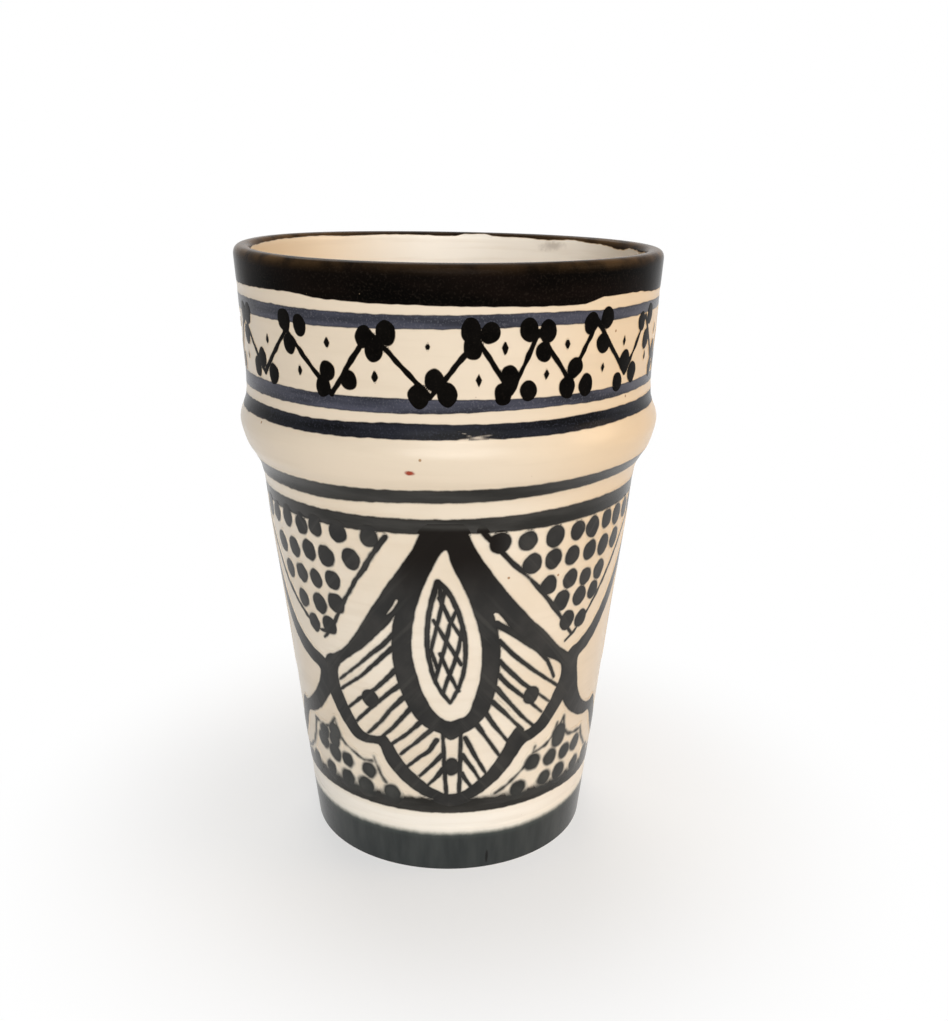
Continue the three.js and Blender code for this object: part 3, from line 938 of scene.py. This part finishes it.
def outline(points):
    """Ink that fills a closed outline."""
    angles, heights = curve(points)
    middle = angles.mean()
    xs = across_wall(angles, middle, heights)

    def measure(x, z):
        nearest = np.full(x.shape, np.inf)
        filled = np.zeros(x.shape, bool)
        for x0, z0, x1, z1 in zip(xs, heights, np.roll(xs, -1), np.roll(heights, -1)):
            nearest = np.minimum(nearest, to_line(x, z, x0, z0, x1, z1)[0])
            if z0 != z1:
                filled ^= ((z0 > z) != (z1 > z)) & (x < x0 + (x1 - x0) * (z - z0) / (z1 - z0))
        return np.where(filled, -nearest, nearest)

    return near_only(measure, middle, xs, heights)


def moved(ink, by, flip=False):
    """The same strokes further round the wall, or their mirror image."""
    def shifted(angle, height):
        turn = turn_from(by, angle)
        return ink(-turn if flip else turn, height)

    return shifted


# The front leaf, read round its edge from the apex down the right side and up the left
FRONT_EDGE = [
    (4.3, 77), (7, 73.3), (12, 68.2), (18, 63), (25, 57.7), (32, 53.4), (38, 49.4), (42, 47.5), (45, 46.5),
    (45, 39), (42.6, 36.2), (40, 34.3), (36, 31.5), (31, 29.8), (27, 29), (25, 27.2), (20, 23.2), (14, 20),
    (8, 17.8), (0, 16.6),
    (-6, 17.8), (-12, 19.5), (-18, 22.3), (-23, 26), (-25.3, 29.2), (-29, 28.9), (-34, 29.1), (-39, 31.8),
    (-43, 35.4), (-45.2, 37.9), (-46, 42), (-44.5, 46.3), (-40, 47.7), (-35, 50), (-30, 53.8), (-25, 58.6),
    (-20, 63.4), (-15, 68.1), (-10, 73), (-6.8, 77),
]
FRONT_FIELD = [
    (13.7, 59.5), (18, 56.6), (23, 53), (28, 50.4), (33, 47.8), (37.5, 46.2), (39.9, 44.7),
    (40, 42), (38, 39.2), (34.5, 35.8), (30, 32.8), (26.8, 32), (23.6, 33.3), (21.5, 32),
    (18.5, 28.2), (14, 24.3), (9, 21.5), (4, 19.6), (-1, 19.2), (-6, 20.6), (-11, 23),
    (-15.5, 25.7), (-20, 30), (-22, 31.5), (-27, 31), (-31, 31.4), (-34.5, 34.2), (-38, 38.2),
    (-39.6, 42), (-39, 44.6), (-34, 47.6), (-28, 50.6), (-23, 53.7), (-18.5, 56.7), (-15.2, 59),
    (-14, 57.5), (-14.6, 52), (-13.6, 45), (-10, 38.5), (-4, 35), (1, 34.2), (7, 35.4), (11, 39),
    (13.2, 45), (13.4, 51), (12, 57),
]
RING_EDGE = [
    (0, 66), (8, 64), (12.8, 60), (15, 55.5), (16.2, 50.5), (16, 46), (14.8, 41.5), (12, 36.9),
    (8, 34.5), (4, 33), (0.5, 31.9), (-3, 33.4), (-8, 34.8), (-12.5, 38), (-15.8, 42.5),
    (-17.6, 47.5), (-17.9, 53), (-16.8, 58), (-14, 62), (-8, 65),
]
DROP_EDGE = [
    (-1.2, 72.8), (0.6, 69.8), (4.5, 64.5), (8, 58), (10, 52), (9.9, 46), (8, 41), (5.6, 37.4),
    (3.2, 36.8), (0.5, 36.2), (-3.5, 37.5), (-7, 40.7), (-10, 46), (-11.5, 52), (-10.6, 58),
    (-8, 64), (-4.4, 69.3), (-2, 72.2),
]
FIRST_HATCH = [(14.4, 57.2), (22, 53.6), (29, 50), (33.5, 47), (37, 42.8)]
HATCH = [
    [(15.5, 53.4), (20, 50.2), (25, 47.4), (30, 44.7), (39.5, 40.2)],
    [(16, 49), (20, 46), (25, 43), (30, 40.4), (36, 37.4)],
    [(16, 45.8), (20, 43), (25, 40.2), (33.2, 35.4)],
    [(15.3, 43), (20, 39.5), (25, 35.8), (30, 32.8)],
    [(14.3, 40), (18, 37.7), (22, 35), (26, 32.3)],
    [(12.3, 37.4), (16, 34), (20.3, 30.6)],
    [(9.3, 35.3), (13, 31.7), (17.8, 27.3)],
    [(5.4, 32.4), (9, 28), (13.3, 23.4)],
    [(4.6, 28.4), (8, 25.3), (10.8, 22.4)],
    [(4.4, 24), (7.8, 20.8)],
    [(-17.3, 54.6), (-21, 52), (-25, 49.8), (-30, 46.8), (-39, 42)],
    [(-17.8, 51.6), (-22, 49), (-26, 46.5), (-30, 44), (-39, 39.8)],
    [(-17.4, 46.8), (-21, 44.3), (-25, 41.8), (-31, 39), (-36.5, 36)],
    [(-16.5, 43.4), (-20, 41.5), (-27, 37.4), (-33.4, 33.4)],
    [(-14.8, 41.1), (-19, 38.3), (-24, 34.5), (-29, 31.3)],
    [(-12.6, 38.8), (-16, 36.2), (-20, 33.3), (-24, 31)],
    [(-9.3, 35.9), (-14, 33), (-20, 30)],
    [(-6, 34.2), (-10, 31.8), (-17, 27.9)],
    [(-4.2, 31.8), (-7, 29.2), (-10, 27.8), (-15, 25)],
    [(-2.3, 28.5), (-6, 26), (-10.4, 23.2)],
    [(-2, 25.2), (-5, 22.8), (-8.4, 20.6)],
]
FIRST_HATCH_LINE = 1.5
HATCH_LINE = 1.15
HATCH_END = 0.65
SLIVER = [(-15.4, 62), (-16.8, 60.4), (-18.8, 58.8)]
SLIVER_LINE = 0.5
SLIVER_END = 0.1
STEMS = [[(4, 34), (3.8, 26), (3.6, 18.5)], [(-2.1, 34), (-1.6, 26), (-0.9, 18.5)]]
STEM_LINE = 0.9
# Dabs inside it, each an angle, a height and two half sizes
LEAF_DABS = [(0.9, 25.7, 1.5, 2.2), (28.2, 40, 1.9, 2.0), (-27, 39.5, 2.0, 2.0)]

# The side leaves: flatter arms, and open fields
SIDE_EDGE = [
    (4.5, 77), (11, 68), (18, 59.5), (25, 52.8), (32, 48.9), (38, 46.9), (43, 45.8), (46, 45),
    (46, 40), (45.3, 37.8), (43, 36), (40, 33.8), (36, 31.8), (31, 30.2), (27, 29.3), (25, 28),
    (22, 25), (17, 21.7), (11, 19), (5, 17.5), (0, 16.8), (-5, 17.5), (-11, 19), (-17, 21.7),
    (-22, 25), (-25, 28), (-27, 29.2), (-32, 29.6), (-38, 31), (-42.5, 32.8), (-45, 34.4),
    (-47.3, 36.6), (-47.5, 42), (-47, 47.6), (-42.5, 48.8), (-38, 50.3), (-32, 53.4), (-25, 58),
    (-17, 64), (-10, 70.5), (-4.5, 77),
]
SIDE_FIELD = [
    (14, 58), (20, 51), (25, 47.6), (30, 45.2), (36, 43.5), (41, 42.2), (40, 40), (38, 38),
    (35, 35.8), (30, 33.3), (26, 31.8), (23, 32), (20, 30), (16, 26.3), (11, 23), (5, 20.5),
    (0, 19.8), (-5, 20.5), (-11, 23), (-16, 26.3), (-20, 30), (-23, 32), (-26, 31.5), (-31, 32.2),
    (-36, 34.5), (-38.7, 37), (-40.4, 40.5), (-41.5, 43.4), (-41.3, 45.3), (-38, 46.2), (-33, 48.2),
    (-28, 51), (-22, 54.5), (-14, 60), (-14.2, 52), (-13.4, 45), (-10, 38.5), (-4, 35), (1, 34.2),
    (7, 35.4), (11, 39), (13.2, 45), (13.4, 51),
]
SIDE_RING = 0.6


def narrowed(points):
    """The same outline on a side leaf, whose ring is narrower."""
    return [(angle * SIDE_RING, height) for angle, height in points]


ring = without(outline(RING_EDGE), outline(DROP_EDGE))
side_drop = outline(narrowed(DROP_EDGE))
side_ring = without(outline(narrowed(RING_EDGE)), side_drop)
stems = [line(points, STEM_LINE) for points in STEMS]
sliver = line(SLIVER, SLIVER_LINE, SLIVER_END)
front_leaf = [without(outline(FRONT_EDGE), outline(FRONT_FIELD), outline(DROP_EDGE), sliver), ring, *stems]
front_leaf += [line(FIRST_HATCH, FIRST_HATCH_LINE, HATCH_END)]
front_leaf += [line(points, HATCH_LINE, HATCH_END) for points in HATCH]
front_leaf += [dab(*touch) for touch in LEAF_DABS]
side_leaf = [without(outline(SIDE_EDGE), outline(SIDE_FIELD), side_drop), side_ring, *stems]
side_leaf += [dab(*LEAF_DABS[0])]

palmettes = joined([
    moved(joined(front_leaf), 0),
    moved(joined(side_leaf), 90),
    moved(joined(front_leaf), 180, flip=True),
    moved(joined(side_leaf), 270),
])

LEAF_LOW = 15.5
LEAF_HIGH = 77.8
LEAF_THIN = colour(76, 75, 72)
QUARTER = math.pi / 2 * LIP_MIDDLE * mm
leaf = Paint("leaf_charcoal", thick=(44, 44, 44), thin=(58, 57, 56), pool=(31, 31, 30), soft=0.2, bleed=0.45,
             bleed_colour=(148, 149, 146), streak=(0.6, 0.6, 1), gloss=0.1)

# Hairs of the brush leave streaks along the arms, which run down to both sides
leaf_way = leaf.parts(leaf.way)
leaf_side = leaf.maths("ABSOLUTE", leaf.maths("WRAP", leaf_way["X"], QUARTER / 2, -QUARTER / 2))
arm_way = leaf.add("ShaderNodeCombineXYZ", X=leaf.maths("SUBTRACT", leaf_side, leaf_way["Y"]),
                   Y=leaf.maths("ADD", leaf_side, leaf_way["Y"])).outputs["Vector"]
streaks = leaf.spread(leaf.noise(2.4, detail=3, place=arm_way, stretch=(0.06, 1, 1)), 0.5, 0.75, 0.0, 0.4)
leaf.paint = leaf.mix(streaks, leaf.paint, LEAF_THIN)

# The paint is thickest at the apex, and over the band it is as dark as the band
APEX_DARK = colour(17, 11, 6)
APEX_SHARE = 0.93
APEX_LOW = 58
APEX_HIGH = 72
APEX_HALF_WIDTH = 16
apex_height = leaf.spread(leaf.parts(leaf.place)["Z"], APEX_LOW * mm, APEX_HIGH * mm, 0.0, APEX_SHARE)
apex_side = leaf.spread(leaf_side, APEX_HALF_WIDTH * mm, APEX_HALF_WIDTH / 2 * mm)
leaf.paint = leaf.mix(leaf.maths("MULTIPLY", apex_height, apex_side), leaf.paint, APEX_DARK)
on_band = leaf.spread(leaf.kept("under_ink", "Fac"), 0.4, 1.5)
leaf.paint = leaf.mix(on_band, leaf.paint, leaf.wash(**BAND_WASH))
leaf_charcoal = leaf.done()


def brushed_round(kind, inks, material, start, half_angle, low, high, **strokes):
    """One layer of a kind on each side of the cup, a quarter turn apart, over the bands."""
    for index, side in enumerate(("front", "right", "back", "left")):
        middle = start + 90 * index
        window = (middle - half_angle, middle + half_angle, low, high)
        brushed(f"brushed_{kind}_{side}", window, inks[index], material, "charcoal_paint", f"{kind}_{side}",
                lift=OVER_BANDS, **strokes)


panel_bands = (band_inks["panel_top_band"], band_inks["panel_bottom_band"])
brushed_round("palmette", [palmettes] * 4, leaf_charcoal, start=0, half_angle=45,
              low=LEAF_LOW, high=LEAF_HIGH, under=panel_bands, margin=0.42)


# The seeds
# A pointed oval line in the drop of each leaf, filled with a crossed lattice of fine brush lines.
# It is the same charcoal oxide, put on with the tip of the brush.
SEED_LEFT = [
    (-3.4, 66.3), (-4.7, 63.3), (-5.9, 60), (-6.5, 56.5), (-6.7, 53), (-6.2, 50), (-5.4, 47.3),
    (-4.2, 45), (-2.4, 42.7), (0.4, 40.4),
]
SEED_RIGHT = [
    (-3.2, 66.3), (-1, 65), (0.8, 63), (2.6, 60.2), (3.9, 57.3), (4.8, 54.3), (5.1, 51.4),
    (4.9, 48.5), (4.2, 46), (3, 43.6), (1.5, 41.6), (0.4, 40.4),
]
LATTICE = [
    [(-2.8, 63), (0.2, 58.4), (4.4, 54)],
    [(-4.6, 58.3), (-1.8, 55), (0.4, 52.6), (3.8, 48.8)],
    [(-2.7, 51.2), (-0.3, 47.2), (3, 43)],
    [(-5.6, 52), (-3.6, 48)],
    [(2.2, 60.6), (0.2, 57.3), (-1, 53.5), (-2.3, 50), (-4.4, 45.4)],
    [(4, 57.2), (2.9, 52.3), (1.5, 49), (-0.2, 46), (-2, 42.6)],
    [(-1.3, 64.4), (-2.6, 60), (-4.2, 55.6), (-5.6, 51.6)],
    [(-2.7, 65.6), (-2.2, 61.5)],
]
SEED_LINE = 1.2
SEED_END = 0.8
LATTICE_LINE = 0.85
SEED_LOW = 38.5
SEED_HIGH = 68.5

seed = [line(points, SEED_LINE, SEED_END) for points in (SEED_LEFT, SEED_RIGHT)]
seed += [line(points, LATTICE_LINE) for points in LATTICE]
side_seed = [line(narrowed(points), SEED_LINE, SEED_END) for points in (SEED_LEFT, SEED_RIGHT)]
side_seed += [line(narrowed(points), LATTICE_LINE) for points in LATTICE[::2]]
seeds = [
    moved(joined(seed), 0),
    moved(joined(side_seed), 90, flip=True),
    moved(joined(seed), 180),
    moved(joined(side_seed), 270, flip=True),
]
brushed_round("seed", seeds, leaf_charcoal, start=0, half_angle=10,
              low=SEED_LOW, high=SEED_HIGH, cell=0.22, ragged=0.04)


# The dotted triangles
# Between two leaves a V line hangs from the upper band, filled with rows of round dabs.
# The upper row runs into the wet band, and the last dabs crowd into the point.
RIGHT_LINE = [(9, 76.4), (12, 74), (16, 71), (24, 65.8), (32, 60), (38.5, 54.8), (43, 51.2)]
RIGHT_FAR_LINE = [(40.3, 50.2), (44, 51.6), (48.5, 54.2), (55, 58.6), (61, 63.2), (68, 68.6), (81, 76.6)]
RIGHT_DABS = [
    (14.2, 73.8), (22.5, 73.6), (31.5, 73.6), (39.8, 73.7), (46.5, 73.5), (53.8, 74), (60.5, 73.8),
    (68, 73.9), (75, 74),
    (24.4, 68.8), (31.5, 69), (38.7, 68.8), (46.3, 68.7), (53.5, 68.6), (61, 68.8),
    (30.8, 63.7), (39, 63.8), (46, 63.2), (53.3, 63.4),
    (36.6, 59.6), (44.3, 59.3), (51.3, 59.4),
    (40, 54.8), (46.5, 54),
]
LEFT_LINE = [
    (-17.8, 74.8), (-20.5, 72.4), (-25, 68), (-30, 63.3), (-34, 59.3), (-37, 56), (-40, 53),
    (-44, 50.4),
]
LEFT_FAR_LINE = [(-40, 52.1), (-45.5, 51.8), (-51, 53), (-57, 55.6), (-63, 59), (-70, 65.6), (-80, 76)]
LEFT_DABS = [
    (-22.8, 74.3), (-33.2, 74.2), (-42, 74.2), (-48.2, 73.6), (-56, 74), (-64, 73.6), (-71, 73.8),
    (-29.3, 69.2), (-38.5, 68.6), (-46, 68.8), (-53.8, 68), (-62, 67.8),
    (-37, 63.8), (-44.4, 63), (-51.7, 63), (-59.5, 62.5),
    (-36.8, 59), (-44.2, 57.7), (-53, 57.3),
    (-41, 53.6), (-48.5, 52.8),
]
TRIANGLE_LINE = 1.2
TRIANGLE_END = 0.7
TRIANGLE_FAR_START = 0.6
TRIANGLE_LOW = 48.5
SMALL_DAB_WIDTH = 1.95
SMALL_DAB_HEIGHT = 2.1
SMALL_DAB_SIZES = (0.93, 1.08)
SMALL_DAB_LEANS = (-8, 8)
DAB_LEAN = 20


def dabs_at(places, half_width, half_height, lean):
    touches = []
    for angle, height in places:
        size = hand.uniform(*SMALL_DAB_SIZES)
        own_lean = lean + hand.uniform(*SMALL_DAB_LEANS)
        touches.append(dab(angle, height, half_width * size, half_height * size, own_lean))
    return touches


def between_leaves(right, left):
    """The inks of the four spaces between the leaves, where the two at the front come again behind."""
    return [right, moved(left, 180), moved(right, 180), left]


def triangle(near_line, far_line, dabs, lean):
    lines = [line(near_line, TRIANGLE_LINE, TRIANGLE_END), line(far_line, TRIANGLE_FAR_START, TRIANGLE_LINE)]
    return joined(lines + dabs_at(dabs, SMALL_DAB_WIDTH, SMALL_DAB_HEIGHT, lean))


right_triangle = triangle(RIGHT_LINE, RIGHT_FAR_LINE, RIGHT_DABS, -DAB_LEAN)
left_triangle = triangle(LEFT_LINE, LEFT_FAR_LINE, LEFT_DABS, DAB_LEAN)
brushed_round("triangle_after", between_leaves(right_triangle, left_triangle), leaf_charcoal,
              start=45, half_angle=40, low=TRIANGLE_LOW, high=LEAF_HIGH,
              under=panel_bands, margin=0.36, cell=0.28, ragged=0.1)


# The dotted corners
# Under the lobes of two leaves a thin scalloped line runs over two rows of dabs.
# The lowest dabs run into the wet band under them.
RIGHT_SCALLOP = [
    [(16.8, 18.4), (21, 19.8), (25, 21.8), (28, 23.3), (30.5, 25), (31.8, 27.4)],
    [(31.5, 26.2), (33.5, 26.4), (36.5, 27), (39.5, 28.4), (41.6, 31.4)],
    [(42, 29.5), (44.6, 32), (46, 28.6), (48.5, 27.2), (52, 26.6), (57.5, 26.4)],
    [(57.5, 26.6), (60, 23.6), (64, 21), (71, 18.4)],
]
RIGHT_CORNER_DABS = [
    (43, 27.4), (42.8, 28.8), (31.5, 24), (39.6, 23.5), (47.4, 23.2), (54.5, 23.6),
    (25.8, 18.4), (37.8, 19), (45.6, 18.9), (56, 18.2), (66, 18.2),
]
LEFT_SCALLOP = [
    [(-23.2, 20.4), (-25, 22), (-26.5, 24), (-27.6, 26)],
    [(-28.4, 24.9), (-32, 24.5), (-36, 25.5), (-40, 26.8), (-43, 28.4), (-44.4, 31.6)],
    [(-44.4, 31.8), (-47, 29.6), (-50.7, 28.8), (-54, 28.8), (-57.6, 29)],
    [(-57.2, 29), (-59.5, 25), (-63, 21.8), (-68, 19.6), (-72, 18.6)],
]
LEFT_CORNER_DABS = [
    (-45.3, 28.6), (-46.3, 26.4), (-52, 27.2), (-53.5, 24.8), (-30.1, 22.4), (-40, 23), (-46.6, 23.3),
    (-21.2, 18.3), (-32.2, 18.4), (-40.9, 18.5), (-50.4, 18.6), (-62, 18),
]
SCALLOP_LINE = 0.75
SCALLOP_END = 0.5
CORNER_DAB_WIDTH = 1.9
CORNER_DAB_HEIGHT = 2.0
CORNER_LOW = 15.2
CORNER_HIGH = 33.5

corner = Paint("corner_charcoal", thick=(40, 41, 40), thin=(62, 63, 61), pool=(38, 39, 38), soft=0.4,
               bleed=0.8, bleed_colour=(150, 152, 146), streak=(0.6, 0.6, 1), fray=0.5)
corner_on_band = corner.spread(corner.kept("under_ink", "Fac"), 0.2, 1.3)
corner.paint = corner.mix(corner_on_band, corner.paint, corner.wash(**BAND_WASH))
corner_charcoal = corner.done()


def dotted_corner(scallop, dabs, lean):
    lines = [line(points, SCALLOP_LINE, SCALLOP_END) for points in scallop]
    return joined(lines + dabs_at(dabs, CORNER_DAB_WIDTH, CORNER_DAB_HEIGHT, lean))


right_corner = dotted_corner(RIGHT_SCALLOP, RIGHT_CORNER_DABS, -DAB_LEAN)
left_corner = dotted_corner(LEFT_SCALLOP, LEFT_CORNER_DABS, DAB_LEAN)
brushed_round("scallop_after", between_leaves(right_corner, left_corner), corner_charcoal,
              start=45, half_angle=32, low=CORNER_LOW, high=CORNER_HIGH,
              under=panel_bands[1:], margin=0.7, cell=0.28, ragged=0.12)


# The table and the light
# A pale table that turns white away from the cup, in a dim room with soft lamps: a large one in front,
# a small one over it for the gloss, one overhead, a warm one at the right and one behind.
TABLE_SIZE = 6.0
TABLE_PALE = colour(230, 229, 227)
WHITE_NEAR = 0.035
WHITE_FAR = 0.105
SHADOW_PALE = 0.55
LAMP_AIM = (0, 0, 0.07)
ROOM_LEVEL = 0.08


def seen_rays(tree):
    """1 for a ray that shows the surroundings as they look, and 0 for one that only lights the cup."""
    rays = tree.nodes.new("ShaderNodeLightPath").outputs
    seen = rays["Is Camera Ray"]
    for kind in ("Is Glossy Ray", "Is Transmission Ray"):
        either = tree.nodes.new("ShaderNodeMath")
        either.operation = "MAXIMUM"
        tree.links.new(seen, either.inputs[0])
        tree.links.new(rays[kind], either.inputs[1])
        seen = either.outputs[0]
    return seen


table_finish = Finish("table", roughness=0.9, specular=0.1)
table_finish.use(Base_Color=TABLE_PALE)
away = table_finish.length(table_finish.place)
whiten = table_finish.spread(away, WHITE_NEAR, WHITE_FAR, SHADOW_PALE, 1)
glow = table_finish.add("ShaderNodeEmission", Strength=1.0)
blend = table_finish.add("ShaderNodeMixShader")
table_finish.feed(blend.inputs[0], table_finish.maths("MULTIPLY", whiten, seen_rays(table_finish.tree)))
table_finish.feed(blend.inputs[1], table_finish.shader.outputs[0])
table_finish.feed(blend.inputs[2], glow.outputs[0])
table_finish.feed(table_finish.tree.nodes["Material Output"].inputs["Surface"], blend.outputs[0])

table_top = bmesh.new()
bmesh.ops.create_grid(table_top, x_segments=8, y_segments=8, size=TABLE_SIZE)
table = made(table_top, "table", table_finish.material)


def lamp(name, place, power, width, height, tint):
    light = bpy.data.lights.new(name, "AREA")
    light.shape = "ELLIPSE"
    light.energy = power
    light.size = width
    light.size_y = height
    light.color = tint
    holder = placed(name, light)
    holder.location = place
    east, north, up = np.subtract(LAMP_AIM, place)
    tilt = math.acos(-up / math.hypot(east, north, up))
    holder.rotation_euler = (tilt, 0, math.atan2(north, east) - math.pi / 2)


lamp("front_lamp", (0.04, -1.48, 0.5), 16.8, 1.4, 1.1, (1, 0.98, 0.95))
lamp("spark_lamp", (0.02, -0.95, 0.95), 1.5, 0.3, 0.1, (1, 0.98, 0.95))
lamp("top_lamp", (0.3, 0.0, 1.6), 5.4, 1.0, 1.0, (1, 0.97, 0.93))
lamp("right_lamp", (1.2, -0.1, 0.5), 4.2, 0.7, 0.7, (1, 0.7, 0.42))
lamp("back_lamp", (-0.2, 1.15, 1.4), 14, 1.2, 1.2, (1, 0.98, 0.96))

world = bpy.data.worlds.new("room")
bpy.context.scene.world = world
world.use_nodes = True
room = world.node_tree
backdrop = room.nodes["Background"]
backdrop.inputs["Color"].default_value = (1, 1, 1, 1)
level = room.nodes.new("ShaderNodeMapRange")
room.links.new(seen_rays(room), level.inputs["Value"])
level.inputs["To Min"].default_value = ROOM_LEVEL
room.links.new(level.outputs["Result"], backdrop.inputs["Strength"])


# The photograph's view
# From close by, a little above the mouth and looking down, with the cup left of the middle of the frame.
# The focal length is in pixels of the photograph's frame, and the distances are in metres.
FRAME_WIDTH = 948
FOCAL_PIXELS = 1147
CAMERA_AWAY = 0.2342
CAMERA_HEIGHT = 0.1408
LOOK_DOWN = math.radians(17.12)
LOOK_RIGHT = math.radians(1.175)
ROLL = math.radians(-0.4)

camera_data = bpy.data.cameras.new("camera")
camera_data.sensor_fit = "HORIZONTAL"
camera_data.sensor_width = 36
camera_data.lens = FOCAL_PIXELS / FRAME_WIDTH * camera_data.sensor_width
camera_data.clip_start = 0.01
camera = placed("camera", camera_data)
camera.location = (0, -CAMERA_AWAY, CAMERA_HEIGHT)
camera.rotation_euler = (math.pi / 2 - LOOK_DOWN, ROLL, -LOOK_RIGHT)
bpy.context.scene.camera = camera
bpy.context.scene.view_settings.view_transform = "Standard"
